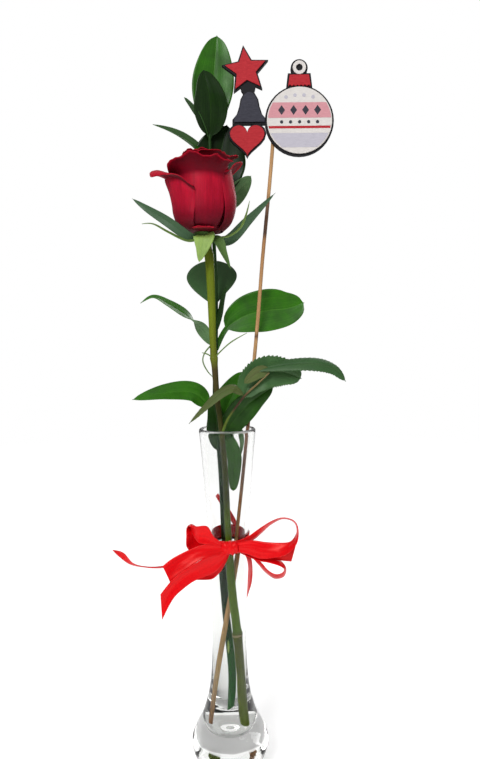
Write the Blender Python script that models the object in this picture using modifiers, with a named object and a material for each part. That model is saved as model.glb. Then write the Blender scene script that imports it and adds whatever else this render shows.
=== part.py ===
# A single red rose with a spray of ruscus and a decorated pick, standing in a clear glass bud vase
# that has a satin bow tied round its neck.
#
# Lengths in this file are millimetres, and MM turns them into metres where a mesh is made.
# The origin is the centre of the vase's foot, on the surface it stands on. +Z is up, and the front
# of the arrangement faces -Y.

import math

import bmesh
import bpy
from mathutils import Vector

MM = 0.001
GAP = 0.3  # kept between neighbouring pieces

# --- driving dimensions -------------------------------------------------------------------------

VASE_HEIGHT = 240.0
VASE_SIDES = 32
RIM_RADIUS = 19.4
RIM_WALL = 2.5
WAIST_RADIUS = 11.9
WAIST_Z = 100.0
BULB_RADIUS = 26.8
BULB_Z = 20.0
FOOT_RADIUS = 12.5
FLOOR_Z = 27.0  # of the hollow, above the solid foot
WATER_Z = 160.0

BLOOM_AXIS = Vector((-13.6, -6.0, 371.5))  # middle of the bloom's underside
PETAL_THICK = 0.8
LIP_STEPS = 6
LEAF_THICK = 0.7
RIBBON_THICK = 0.7
SKEWER_RADIUS = 1.25
BOARD_THICK = 3.0  # the pick's black board
FACE_THICK = 1.0  # the coloured shapes glued on it
BOARD_Y = 2.5  # middle of the board

# Outer side of the vase from the rim down, as (radius, height).
VASE_OUTSIDE = [
    (RIM_RADIUS, VASE_HEIGHT - 1.5),
    (17.0, 210.0),
    (14.6, 174.0),
    (13.1, 148.0),
    (12.2, 124.0),
    (WAIST_RADIUS, WAIST_Z),
    (12.1, 80.0),
    (13.2, 64.0),
    (14.8, 53.0),
    (16.8, 45.5),
    (19.4, 37.5),
    (23.9, 28.6),
    (BULB_RADIUS, BULB_Z),
    (24.8, 10.6),
    (19.2, 3.2),
    (FOOT_RADIUS, 0.0),
]
# The hollow's side from its floor up.
VASE_INSIDE = [
    (10.6, FLOOR_Z + 0.2),
    (12.9, FLOOR_Z + 2.0),
    (14.3, FLOOR_Z + 6.5),
    (14.1, 43.0),
    (12.4, 57.0),
    (10.4, 76.0),
    (9.6, WAIST_Z),
    (9.9, 124.0),
    (10.8, 148.0),
    (12.2, 174.0),
    (14.6, 210.0),
    (RIM_RADIUS - RIM_WALL, VASE_HEIGHT - 1.5),
]

# Middle lines of the stems from the foot up, as (x, y, z, radius).
ROSE_STEM = [
    (8.2, -1.5, 28.6, 2.7),
    (7.1, -2.0, 44.0, 2.7),
    (6.2, -2.2, 68.0, 2.6),
    (5.1, -2.3, 86.0, 2.6),
    (4.6, -2.4, 92.5, 3.1),
    (4.2, -2.4, 99.0, 2.4),
    (1.5, -2.8, 133.0, 2.3),
    (-0.4, -3.2, 177.0, 2.2),
    (-1.4, -3.6, 207.0, 2.0),
    (-3.7, -3.9, 237.0, 1.8),
    (-6.5, -4.0, 261.0, 1.9),
    (-8.0, -4.0, 283.0, 2.2),
    (-8.4, -4.0, 288.0, 2.7),
    (-8.8, -4.0, 294.0, 2.2),
    (-9.6, -4.4, 325.0, 2.6),
    (-10.6, -5.4, 354.0, 3.1),
    (-12.3, -5.8, 361.0, 3.6),
    (-13.6, -6.0, 367.0, 5.6),
    (-13.6, -6.0, 371.2, 7.0),
]
RUSCUS_STEM = [
    (0.4, 4.6, 38.4, 1.7),
    (1.0, 4.6, 68.0, 1.7),
    (-1.7, 5.2, 117.0, 1.6),
    (-3.6, 6.2, 162.0, 1.6),
    (-5.2, 7.6, 205.0, 1.5),
    (-7.4, 9.0, 239.0, 1.5),
    (-8.6, 9.4, 262.0, 1.5),
    (-7.4, 9.5, 300.0, 1.4),
    (-7.0, 11.0, 335.0, 1.3),
    (-8.2, 15.4, 368.0, 1.3),
    (-9.4, 17.2, 395.0, 1.2),
    (-10.2, 18.2, 422.0, 1.1),
    (-10.6, 18.0, 446.0, 1.0),
]
SKEWER = [
    (-10.5, 1.4, 28.9),
    (-5.2, 1.5, 86.0),
    (2.4, 1.5, 142.0),
    (6.2, 1.6, 168.0),
    (10.6, 1.8, 206.0),
    (14.2, 2.2, 240.0),
    (20.8, 3.4, 305.0),
    (25.2, 4.4, 355.0),
    (29.2, 5.2, 394.0),
    (32.2, 5.7, 426.0),
    (34.8, 5.9, 462.0),
]

# Ruscus leaves: root is the height on the stem where the leaf grows, path the points of its midrib
# after that, face the way its upper side looks, turned that side again at the tip and turn the part
# of the leaf where it twists, belly where it is widest, full how blunt it is, and cup its hollow.
RUSCUS_LEAVES = {
    "top": dict(root=443, path=[(-8.8, 18.5, 468), (-6.8, 19, 490), (-4.8, 20, 512)], width=29,
                face=(0.1, -1, 0.1), cup=0.12, belly=0.46),
    "top_front": dict(root=441, path=[(-9.6, 14, 455), (-10.2, 10.5, 468), (-14, 8, 483.6)],
                      width=23.5, face=(0.2, -1, -0.2), cup=0.15),
    "behind_bloom": dict(root=390, path=[(-6.8, 21.5, 409), (-2.4, 23.5, 431), (1.8, 22, 452)],
                         width=36, face=(0.1, -1, 0.1), cup=0.10, belly=0.58, full=0.7),
    "right_of_bloom": dict(root=392, path=[(0, 22, 397), (9, 24, 403.6), (18.8, 24, 413.6)],
                           width=16, face=(0.2, -1, -0.3), cup=0.15),
    "high_left_thin": dict(root=440, path=[(-17, 17, 453), (-22.5, 15, 461), (-27.6, 13, 467.3)],
                           width=12, face=(0.75, 0.1, 0.85), cup=0.1),
    "left_of_bloom": dict(root=425, path=[(-22, 18.5, 437), (-35, 17, 445), (-49.8, 15, 450)],
                          width=16, face=(0.3, -0.55, 0.9), cup=0.15, full=0.85),
    "below_bloom": dict(root=318, path=[(-9.6, 17, 333), (-10.6, 27, 347), (-11.2, 38, 360)],
                        width=36, face=(0.0, -0.75, 0.6), cup=0.12, belly=0.54, full=0.62),
    "left_twisted": dict(root=293, path=[(-16.5, 9, 307), (-26.5, 7.5, 317), (-40, 6, 326),
                                         (-50, 4, 330.5), (-58.5, 2, 326)],
                         width=15, face=(0.25, 0.85, 0.35), turned=(0.05, -0.28, 1.0),
                         turn=(0.2, 0.5), cup=0.1, belly=0.30, full=0.65),
    "right_big": dict(root=294, path=[(0.0, 10.6, 308.5), (13.5, 12.6, 317.5), (29, 14, 321),
                                      (43, 15, 322.5), (55, 15.5, 326.4)],
                      width=30, face=(-0.05, -1, 0.15), cup=0.12, belly=0.48, full=0.42,
                      stalk=0.17),
    "mid_bright": dict(root=236, path=[(-1.5, 12, 250), (4.5, 13.5, 264), (12.5, 14, 281)],
                       width=23, face=(0.1, -1, 0.2), cup=0.12),
    "low_right": dict(root=228, path=[(0.6, 4.4, 239), (9.5, -1.4, 249.5), (19.5, -4, 258.5),
                                      (31.4, -5, 267)],
                      width=21, face=(0.25, -1, 0.2), cup=0.1, belly=0.46),
    "low_left": dict(root=250, path=[(-14, 7, 258.5), (-27, 3.4, 266), (-45, -2, 264.5),
                                     (-63.6, -8, 260.8)],
                     width=16, face=(0.05, -0.8, 0.6), cup=0.15, belly=0.36, full=0.7),
    "rim_left": dict(root=222, path=[(-7.6, 7.4, 234), (-8.0, 7.2, 246), (-11.4, 8, 261)],
                     width=14, face=(0.1, -1, 0.0), cup=0.1),
    "inside": dict(root=230, path=[(-0.5, 6.6, 231), (4.4, 4.6, 221), (4.6, 4.2, 208),
                                   (3.6, 3.6, 195)],
                   width=10.5, face=(0.1, -1, 0.1), cup=0.1, full=0.45),
    "inside_pale": dict(root=234, path=[(1, 10.6, 238), (8, 10, 237), (10.4, 8.4, 229),
                                        (8.4, 8, 217)],
                        width=4.5, face=(0.2, -1, 0.1), cup=0.1),
    "small_bract": dict(root=305, path=[(-4.6, 9, 317), (-2.6, 8, 328), (0.6, 6.5, 338)], width=4,
                        face=(0.6, -1, 0.0), cup=0.1),
}

# Sepals: path from the hip outwards.
SEPALS = {
    "front_pale": dict(path=[(-13.6, -10.2, 370.0), (-13.6, -14.4, 367.0), (-14.6, -15.6, 360),
                             (-17, -16, 350.8)],
                       width=14, face=(-0.1, -1, 0.1), cup=0.12, belly=0.28, full=0.75),
    "front_right": dict(path=[(-8.2, -8.4, 368.6), (-4.2, -11.6, 365), (-1.2, -12.8, 358),
                              (3.8, -13.4, 346.6)],
                        width=7.5, face=(0.5, -1, 0.3), cup=0.25, belly=0.35, full=0.8),
    "left_broad": dict(path=[(-17.2, -8.4, 366.8), (-25, -13.4, 367.2), (-38, -13.2, 377.6),
                             (-55.8, -7.5, 389.8)],
                       width=8, face=(0.3, -1, -0.4), cup=0.2, belly=0.42, full=0.8),
    "left_thin": dict(path=[(-17.6, -8, 368.4), (-24.4, -11, 366.2), (-36, -14.4, 370.4),
                            (-46, -16.4, 375.4), (-53.4, -17.5, 375.4)],
                      width=3.0, face=(0.2, -0.5, 1), cup=0.1, belly=0.3, full=0.8),
    "right_broad": dict(path=[(-9.0, -4.4, 366.6), (3, -3, 368.4), (16, -3.8, 381.4),
                              (33.8, -5, 397.7)],
                        width=9, face=(-0.3, -1, -0.5), cup=0.2, belly=0.42, full=0.8),
    "right_thin": dict(path=[(-8.8, -7.6, 368), (2.5, -10, 368.4), (10.4, -12, 373.6),
                             (14, -12.6, 381.5), (16.4, -13.5, 390.6)],
                       width=3.2, face=(-0.4, -0.5, 1), cup=0.1, belly=0.3, full=0.8),
}

# The rose's own leaf: its stalk, and leaflets with toothed edges.
LEAF_STALK = [
    (-3.6, -4.4, 236.0, 1.0),
    (0.1, -7.0, 246.0, 0.85),
    (6.3, -9.5, 255.5, 0.75),
    (13.0, -11.5, 264.0, 0.7),
    (20.5, -12.6, 271.0, 0.65),
    (28.4, -13.4, 278.5, 0.6),
]
LEAFLETS = {
    "broad": dict(path=[(11.4, -10.9, 262), (17, -9.6, 270.6), (27, -8.6, 276.4),
                        (40, -8.4, 276.8), (50.4, -9, 273.4)],
                  width=22, face=(-0.1, -1, 0.05), cup=0.12, belly=0.55, full=0.45),
    "end": dict(path=[(17.5, -13.4, 279.6), (30, -14.4, 281.4), (45, -15.6, 283.2),
                      (60, -17, 283), (71, -17, 279.4), (78.5, -17, 272.3)],
                width=12.5, face=(0.0, -0.72, 0.72), cup=-0.25, belly=0.56, full=0.6),
    "pale": dict(path=[(28.4, -13.5, 278.9), (21, -14.5, 278.4), (12.2, -15, 273)], width=9,
                 face=(0.1, -1, -0.2), cup=0.1),
    "left": dict(path=[(11.4, -11.1, 263.4), (4.6, -13, 268.6), (-3.5, -14.4, 265.8),
                       (-12.6, -16, 257.9), (-24.8, -17, 245.4)],
                 width=10, face=(-0.3, -0.62, 0.8), cup=-0.2, full=0.7),
}
# Dry stipules, hair-thin, at the upper node of the rose stem.
STIPULES = {
    "right": [(-8.4, -4.2, 288), (-2.5, -6.0, 294), (4.2, -7.0, 299.5), (14.1, -7.5, 305)],
    "loop": [(-9.2, -3.8, 298), (-14.4, -4.6, 292), (-15.8, -5.0, 286), (-12.5, -4.6, 279),
             (-7.6, -4.2, 274)],
    "left": [(-8.6, -4.4, 288), (-12.4, -5.6, 290.8), (-16.3, -6.0, 292)],
}
STIPULE_RADIUS = 0.5

# Petals, measured round the bloom's axis: at is the middle of the petal in degrees (270 is the
# front), half its half width, radii its distance from the axis from root to shoulder and slant how
# much one edge stands further out. Across the petal: shoulder is the height where its lip starts,
# length the lip's length, and bend and curl how far the lip turns outwards, in degrees.
PETALS = {
    "front": dict(at=250, half=64, radii=[12.0, 17.0, 19.0, 19.6, 19.4, 19.0],
                  shoulder=[30, 32, 33, 33, 32], length=[9, 14, 15.5, 14.5, 13],
                  bend=[60, 58, 55, 55, 52], curl=[10, 8, 0, 10, 20]),
    "left": dict(at=196, half=61, radii=[12.2, 16.8, 19.4, 20.6, 22.4, 24.8],
                 shoulder=[33, 34, 34, 33, 31, 27.5, 22], length=[9, 11, 12.5, 11, 7, 5, 4],
                 bend=[50, 58, 60, 62, 60, 55, 40], curl=[0, 0, 0, 60, 20, 0, 0], slant=-2.4),
    "right": dict(at=11, half=65, radii=[12.2, 17.8, 20.6, 21.0, 19.6, 18.2],
                  shoulder=[34, 37, 39.5, 39.5, 37, 34, 33], length=[4, 6, 10.5, 10, 8, 8, 8],
                  bend=[20, 40, 60, 60, 60, 60, 50], curl=[0, 0, 0, 0, 10, 10, 0]),
    "back": dict(at=104, half=58, radii=[11.6, 16.6, 18.8, 19.0, 18.6, 18.2],
                 shoulder=[34, 36, 38, 37, 35], length=[7, 8, 8.5, 8, 7],
                 bend=[15, 20, 20, 20, 15], curl=[0, 0, 0, 0, 0]),
    "second_right": dict(at=24, half=62, radii=[8.6, 14.8, 17.0, 17.4, 16.8, 16.2],
                         shoulder=[41, 44, 44.5, 43, 41], length=[6, 8, 8, 7, 6],
                         bend=[30, 48, 45, 40, 40], curl=[20, 45, 45, 20, 0], slant=0.9),
    "second_left": dict(at=150, half=60, radii=[8.6, 14.6, 16.6, 17.0, 16.8, 16.2],
                        shoulder=[39, 41, 42, 41, 38], length=[6, 8, 8, 7, 6],
                        bend=[30, 35, 35, 35, 30], curl=[0, 20, 30, 20, 0], slant=0.9),
    "second_front": dict(at=272, half=62, radii=[8.6, 14.4, 16.4, 16.8, 16.4, 15.8],
                         shoulder=[36, 39, 42.5, 43.5, 41.5], length=[6, 6, 6, 6, 6],
                         bend=[20, 25, 30, 30, 25], curl=[0, 20, 30, 20, 0], slant=0.9),
}
# Inner petals, in rings of alike ones; start is where the first one stands.
PETAL_RINGS = [
    dict(name="third", count=3, start=340, half=68, radii=[7.4, 11.8, 13.4, 13.8, 13.2, 12.6],
         shoulder=[42, 44, 45, 44, 42], length=5.5, bend=16, curl=25, slant=1.0),
    dict(name="heart", count=3, start=20, half=74, radii=[5.0, 7.8, 9.6, 10.0, 9.2, 8.4],
         shoulder=[43, 45, 46, 45, 43], length=5.5, bend=4, curl=25, slant=0.9),
    dict(name="bud", count=2, start=80, half=88, radii=[3.0, 4.6, 5.8, 6.2, 5.4, 4.6],
         shoulder=[42, 44, 45, 44, 42], length=5.0, bend=-22, curl=10, slant=0.9),
]
# The solid heart that the petals grow round, from its top down.
BLOOM_CORE = [(0, 45.0), (2.6, 43.0), (3.8, 36.0), (6.4, 26.0), (9.6, 15.0), (12.2, 6.0),
              (12.2, 2.4), (10.2, 0.4), (7.0, 0.0)]

# Each length of ribbon by its two edges, from the knot outwards.
BAND_Z = 162.6
BAND_HEIGHT = 10.6
KNOT = Vector((1.4, -17.2, 162.0))
RIBBON_PARTS = {
    "left_loop": dict(
        top=[(-2, -17.4, 164.4), (-9, -20, 170.6), (-13.2, -21, 178), (-20.2, -20.8, 178),
             (-26.9, -18.6, 177), (-28, -16.6, 170), (-27.4, -15.6, 161.6), (-20, -15.4, 156.4),
             (-5, -15.8, 159.6)],
        low=[(-2, -17.4, 161.6), (-9.5, -20, 165.2), (-14.5, -20.6, 166), (-20, -19.4, 167.6),
             (-26.2, -8.4, 175.4), (-17.4, -9.8, 170.5), (-16.6, -9.8, 163), (-13, -11, 161),
             (-4, -15.4, 161.2)]),
    "left_tail": dict(
        top=[(-1.5, -17.8, 162.2), (-8, -19.4, 164.8), (-15.5, -20.6, 165.6),
             (-24, -21.4, 163), (-32.4, -22.6, 159.4), (-38.4, -24, 156.2), (-42.6, -25.4, 153)],
        low=[(-1.5, -17.8, 160.4), (-6, -20, 158.6), (-11, -22, 158), (-17.5, -23.4, 156.4),
             (-25, -25, 152), (-32, -26.2, 147), (-37.6, -27, 143)]),
    "long_tail": dict(
        top=[(-1.5, -18.4, 161.2), (-5.6, -21, 159.2), (-11, -23.8, 159.4), (-17.5, -26.6, 157.6),
             (-24.5, -29.2, 154), (-31.5, -31.6, 150), (-37, -33.4, 145.6), (-43, -35, 138.5)],
        low=[(0.4, -18.2, 159.4), (-2.5, -19.6, 154), (-8, -22, 148.4), (-15, -25.4, 146),
             (-21, -28.4, 144.8), (-28, -31.2, 141), (-35, -33.8, 135), (-42, -36.2, 122.4)]),
    "under_loop": dict(
        top=[(-0.5, -16.8, 160.4), (-6.5, -18, 154), (-12.5, -19, 149.6), (-20, -20.6, 146.4),
             (-25, -22.6, 146.4)],
        low=[(1.6, -16.8, 158.8), (-1.6, -16.8, 151.6), (-5.6, -17, 145.6),
             (-11.4, -18, 141.4), (-21, -21, 142)]),
    "curl_tail": dict(
        top=[(-3, -16.6, 161.6), (-16, -17.6, 159.4), (-29, -18.6, 155), (-43.5, -19.6, 151.2),
             (-53, -21.4, 151.2), (-62, -22.4, 154), (-68.4, -23.6, 161.6), (-75, -26, 164.4)],
        low=[(-4, -16, 161), (-16, -15.5, 156), (-29.5, -14.5, 151), (-44.5, -12, 147.5),
             (-55, -14, 148.5), (-64.5, -18.5, 152), (-71.5, -22.5, 159), (-74.5, -26, 163.6)]),
    "right_loop": dict(
        top=[(4.6, -17.4, 165), (15, -21, 168.2), (25, -23.6, 167.8), (34, -25.4, 168),
             (40.6, -25, 168.8), (44, -23, 172.4), (45, -21.4, 176.4), (43, -19.6, 180),
             (36.8, -17, 181), (29.2, -16, 176.4), (22.5, -16, 170.6), (16, -16, 166),
             (5, -16.2, 163.4)],
        low=[(4.6, -17.4, 159.8), (13, -21, 158.8), (21, -24.4, 157), (29.5, -27.4, 158.6),
             (37.4, -31.4, 162.6), (43.6, -34, 170.4), (44.8, -33, 178.8), (42.4, -31, 183.6),
             (35.8, -28.2, 184.6), (28.6, -25.6, 181.6), (20.5, -22, 175.8),
             (13, -18.4, 169.6), (4.4, -17.2, 165.2)]),
    "right_end": dict(
        top=[(5.2, -16.6, 162.4), (17, -17.6, 163.4), (31, -19.4, 163.6), (45.2, -20.6, 165)],
        low=[(5.2, -16.6, 160.8), (16, -17.6, 156.2), (29, -19, 154.4), (42, -21, 153.6)]),
    "small_loop": dict(
        top=[(5, -16.6, 160.8), (15.5, -17.4, 156.6), (21.5, -17.8, 152.2),
             (26.4, -18.4, 146.6), (31.6, -19.6, 144.2), (36, -21, 145.8), (37.4, -23.4, 149.6),
             (34.4, -24.6, 152.6), (27, -23.6, 154.6), (19, -21, 155.4), (6, -17.6, 160)],
        low=[(5, -14.8, 159.6), (14.8, -13.2, 154.4), (20, -11, 148), (24.8, -9.6, 141.6),
             (31.2, -11, 137.6), (37.6, -13.4, 140), (39.4, -16, 146.8), (36.2, -15, 152.4),
             (28.6, -14.2, 154.6), (21, -14, 155.4), (6, -15.4, 160.6)]),
    "hanging_tail": dict(
        top=[(6.6, -16.4, 160.4), (11.4, -16.4, 156.4), (12.9, -16.2, 150), (12.9, -15.8, 143),
             (12.6, -15.2, 136), (12.2, -14.6, 126.6)],
        low=[(7.4, -14.2, 160.2), (13.4, -9.6, 155.4), (15.9, -9.2, 149), (16.2, -9, 142),
             (14.9, -9.6, 134), (12.5, -13.8, 127)]),
    "back_strand": dict(
        top=[(11.2, 10.2, 166), (8.6, 13.6, 168), (4.6, 16.8, 174), (-1.4, 17.8, 182),
             (-8.8, 17.8, 190.6)],
        low=[(10.8, 9.8, 162.4), (7.8, 13.4, 163.6), (2.6, 15.8, 170), (-3.8, 16.6, 179),
             (-11.2, 17.2, 188.6)]),
}

# Shapes on the pick, in its own plane: (x, z) centres and sizes.
BOARD_MARGIN = 1.3
BAUBLE = dict(at=(50.4, 446.5), radius=21.8)
CAP = dict(at=(50.4, 472.4), width=15.0, height=7.5)
RING = dict(at=(50.4, 480.9), radius=4.4, hole=2.2)
LINK = dict(at=(16.2, 468.6), radius=5.0)  # of the board, between star and bell
STAR = dict(at=(14.8, 479.6), radius=14.2, waist=6.6)
BELL = dict(at=(17.0, 455.4), width=20.4, height=19.5)
HEART = dict(at=(15.4, 433.4), width=23.0, height=20.0)


# --- curves and blades --------------------------------------------------------------------------

def spline(points, t):
    """The point at t, from 0 to 1, on a smooth curve through equally spaced points."""
    spans = len(points) - 1
    span = min(int(t * spans), spans - 1)
    f = t * spans - span
    a = points[max(span - 1, 0)]
    b = points[span]
    c = points[span + 1]
    d = points[min(span + 2, spans)]
    return (b * 2 + (c - a) * f + (a * 2 - b * 5 + c * 4 - d) * f * f
            + (b * 3 - a - c * 3 + d) * f * f * f) * 0.5


def path_frame(path, t):
    """The place and direction at t on a path."""
    step = 0.02
    here = spline(path, t)
    ahead = spline(path, min(t + step, 1.0)) - spline(path, max(t - step, 0.0))
    return here, ahead.normalized()


def vectors(points):
    return [Vector(p[:3]) for p in points]


def on_path(points, height):
    """The place on a stem at a height."""
    for low, high in zip(points, points[1:]):
        if low[2] <= height <= high[2]:
            share = (height - low[2]) / (high[2] - low[2])
            return Vector(low[:3]).lerp(Vector(high[:3]), share)
    return Vector(points[-1][:3])


def ease(t):
    t = max(0.0, min(1.0, t))
    return t * t * (3 - 2 * t)


def leaf_width(u, stalk, belly, full):
    """Share of the half width at u: a narrow stalk, a full body and a short abrupt point."""
    t = max(u - stalk, 0.0) / (1 - stalk)
    skew = math.log(0.5) / math.log(belly)
    body = max(math.sin(math.pi * min(t / 0.965, 1.0) ** skew), 0.0) ** full
    return max(body, 0.09 * (1 - t) ** 8, 0.04)


def leaf_rule(path, width, face, turned=None, turn=(0.0, 1.0), cup=0.1, belly=0.44, stalk=0.07,
              full=0.6, teeth=0, edge=0.05):
    """How a leaf's blade lies: along its midrib, hollowed by cup, with optional teeth."""
    start = Vector(face).normalized()
    end = Vector(turned or face).normalized()

    def place(u, v):
        here, ahead = path_frame(path, u)
        up = start.lerp(end, ease((u - turn[0]) / (turn[1] - turn[0]))).normalized()
        side = ahead.cross(up).normalized()
        up = side.cross(ahead)
        half = width / 2 * leaf_width(u, stalk, belly, full)
        if teeth:
            half *= 1 - edge * (round(u * teeth) % 2)
        return here + side * half * v + up * cup * half * v * v

    return place


# --- Blender objects ----------------------------------------------------------------------------

def clear_scene():
    for obj in list(bpy.data.objects):
        bpy.data.objects.remove(obj, do_unlink=True)


def new_collection(name):
    collection = bpy.data.collections.new(name)
    bpy.context.scene.collection.children.link(collection)
    return collection


def new_material(name, colour, roughness, metallic=0.0, transmission=0.0, ior=1.5):
    material = bpy.data.materials.new(name)
    material.use_nodes = True
    shader = material.node_tree.nodes["Principled BSDF"]
    shader.inputs["Base Color"].default_value = (*colour, 1.0)
    shader.inputs["Roughness"].default_value = roughness
    shader.inputs["Metallic"].default_value = metallic
    shader.inputs["Transmission Weight"].default_value = transmission
    shader.inputs["IOR"].default_value = ior
    return material


def mesh_object(name, bm):
    mesh = bpy.data.meshes.new(name)
    bm.to_mesh(mesh)
    bm.free()
    obj = bpy.data.objects.new(name, mesh)
    bpy.context.scene.collection.objects.link(obj)
    return obj


def baked(obj):
    """The object with its modifiers applied, as a welded mesh."""
    bpy.context.view_layer.update()
    graph = bpy.context.evaluated_depsgraph_get()
    mesh = bpy.data.meshes.new_from_object(obj.evaluated_get(graph))
    bm = bmesh.new()
    bm.from_mesh(mesh)
    bmesh.ops.remove_doubles(bm, verts=bm.verts, dist=0.00001)
    bm.to_mesh(mesh)
    bm.free()
    fresh = bpy.data.objects.new(obj.name, mesh)
    fresh.matrix_world = obj.matrix_world.copy()
    bpy.context.scene.collection.objects.link(fresh)
    bpy.data.objects.remove(obj, do_unlink=True)
    return fresh


def blade(name, rows, columns, place, thick):
    """A thin blade: a grid laid out by a rule, cut into triangles and thickened."""
    bm = bmesh.new()
    bmesh.ops.create_grid(bm, x_segments=rows, y_segments=columns, size=1.0)
    for vert in bm.verts:
        vert.co = place((vert.co.x + 1) / 2, vert.co.y) * MM
    bmesh.ops.triangulate(bm, faces=bm.faces)
    obj = mesh_object(name, bm)
    shell = obj.modifiers.new("Thickness", "SOLIDIFY")
    shell.thickness = thick * MM
    shell.offset = 0.0
    return baked(obj)


def tube(name, points, radii, resolution=2):
    """A round stem through the points, with a radius at each."""
    curve = bpy.data.curves.new(name, "CURVE")
    curve.dimensions = "3D"
    curve.bevel_depth = MM
    curve.bevel_resolution = resolution
    curve.use_fill_caps = True
    line = curve.splines.new("POLY")
    line.points.add(len(points) - 1)
    for knot, point, radius in zip(line.points, points, radii):
        knot.co = (*(point * MM), 1.0)
        knot.radius = radius
    obj = bpy.data.objects.new(name, curve)
    bpy.context.scene.collection.objects.link(obj)
    return baked(obj)


def stem(name, points, resolution=2, wider=0.0):
    return tube(name, vectors(points), [p[3] + wider for p in points], resolution)


def turned(name, profile, sides):
    """A turned solid. The profile runs down its outer side, top to bottom."""
    bm = bmesh.new()
    verts = [bm.verts.new((radius * MM, 0, height * MM)) for radius, height in profile]
    for first, second in zip(verts, verts[1:]):
        bm.edges.new((first, second))
    obj = mesh_object(name, bm)
    screw = obj.modifiers.new("Turn", "SCREW")
    screw.steps = sides
    screw.render_steps = sides
    screw.use_merge_vertices = True
    screw.merge_threshold = 0.00001
    return obj


def flat_shape(name, outlines, middle_y, thick):
    """A flat plate in the XZ plane, from closed outlines of (x, z) points."""
    curve = bpy.data.curves.new(name, "CURVE")
    curve.dimensions = "2D"
    curve.fill_mode = "BOTH"
    curve.extrude = thick / 2 * MM
    for outline in outlines:
        line = curve.splines.new("POLY")
        line.points.add(len(outline) - 1)
        line.use_cyclic_u = True
        for knot, (x, z) in zip(line.points, outline):
            knot.co = (x * MM, z * MM, 0, 1)
    obj = bpy.data.objects.new(name, curve)
    obj.rotation_euler = (math.pi / 2, 0, 0)
    obj.location = (0, middle_y * MM, 0)
    bpy.context.scene.collection.objects.link(obj)
    return baked(obj)


def fuse(name, pieces, solver="EXACT"):
    """All pieces as one closed body."""
    joined = new_collection(name + "_pieces")
    for piece in pieces[1:]:
        joined.objects.link(piece)
        bpy.context.scene.collection.objects.unlink(piece)
    base = pieces[0]
    union = base.modifiers.new("Join", "BOOLEAN")
    union.operation = "UNION"
    union.operand_type = "COLLECTION"
    union.collection = joined
    union.solver = solver
    whole = baked(base)
    whole.name = name
    for piece in list(joined.objects):
        bpy.data.objects.remove(piece, do_unlink=True)
    bpy.data.collections.remove(joined)
    return whole


def finish(obj, name, material, smooth=True):
    """Names a finished sub-part, gives it its material and puts it in the model's collection."""
    obj.name = name
    obj.data.name = name
    obj.data.materials.clear()
    obj.data.materials.append(material)
    if smooth:
        obj.data.shade_smooth()
        obj.data.set_sharp_from_angle(angle=math.radians(40))
    for collection in list(obj.users_collection):
        collection.objects.unlink(obj)
    MODEL.objects.link(obj)
    return obj


# --- sub-parts ----------------------------------------------------------------------------------

def make_vase():
    edge = RIM_WALL / 2
    rim = [(RIM_RADIUS - edge + edge * math.cos(math.radians(a)),
            VASE_HEIGHT - 1.5 + 1.5 * math.sin(math.radians(a))) for a in (140, 90, 40)]
    profile = [(0, FLOOR_Z)] + VASE_INSIDE + rim + VASE_OUTSIDE + [(0, 0)]
    vase = turned("vase", profile, VASE_SIDES)
    return finish(vase, "vase", new_material("clear_glass", (0.95, 0.97, 0.97), 0.02, 0, 1.0))


def inside_radius(height):
    for low, high in zip(VASE_INSIDE, VASE_INSIDE[1:]):
        if low[1] <= height <= high[1]:
            return low[0] + (high[0] - low[0]) * (height - low[1]) / (high[1] - low[1])
    return VASE_INSIDE[-1][0]


def make_water():
    """Water fills the hollow up to WATER_Z, with a plain hole for each stem."""
    wall = [(radius - GAP, height) for radius, height in reversed(VASE_INSIDE) if height < WATER_Z]
    wall[-1] = (wall[-1][0], wall[-1][1] + GAP)
    profile = [(0, WATER_Z), (inside_radius(WATER_Z) - GAP, WATER_Z)] + wall + [(0, FLOOR_Z + GAP)]
    water = turned("water", profile, VASE_SIDES)
    for name, points in (("rose", ROSE_STEM), ("ruscus", RUSCUS_STEM),
                         ("skewer", [(*p, SKEWER_RADIUS) for p in SKEWER])):
        first = points[0]
        start = FLOOR_Z - 4 if first[2] < FLOOR_Z + 3 else first[2] - GAP
        below = [(first[0], first[1], start, first[3])]
        reach = [p for p in points if p[2] < WATER_Z + 50]
        cutter = stem(name + "_hole", below + reach, 2, GAP)
        cutter.hide_render = True
        cutter.display_type = "WIRE"
        bpy.context.scene.collection.objects.unlink(cutter)
        CUTTERS.objects.link(cutter)
        cut = water.modifiers.new("Hole " + name, "BOOLEAN")
        cut.object = cutter
    water = baked(water)
    return finish(water, "water", new_material("water", (0.96, 0.98, 0.98), 0.0, 0, 1.0, 1.33))


def petal_rule(share, at, half, radii, shoulder, length, bend, curl, slant=0.0):
    """How a petal lies: a cupped body up to its shoulder, at share of the way, then a turned lip."""
    middle = math.radians(at)
    reach = math.radians(half)

    def place(u, v):
        across = (v + 1) / 2
        rise = min(u / share, 1.0)
        lip = max(u - share, 0.0) / (1 - share)
        out = spline(radii, rise) + slant * v * ease(rise * 2)
        height = 0.9 + spline(shoulder, across) * rise ** 1.25
        stride = spline(length, across) * lip / LIP_STEPS
        for i in range(LIP_STEPS):
            q = lip * (i + 0.5) / LIP_STEPS
            turn = spline(bend, across) * (1 - (1 - q) ** 3) + spline(curl, across) * q * q
            turn = math.radians(turn + 50 * q ** 8)
            out += stride * math.sin(turn)
            height += stride * math.cos(turn)
        angle = middle + reach * v * (0.62 + 0.38 * math.sin(math.pi / 2 * min(rise * 1.3, 1)))
        return BLOOM_AXIS + Vector((out * math.cos(angle), out * math.sin(angle), height))

    return place


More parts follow.
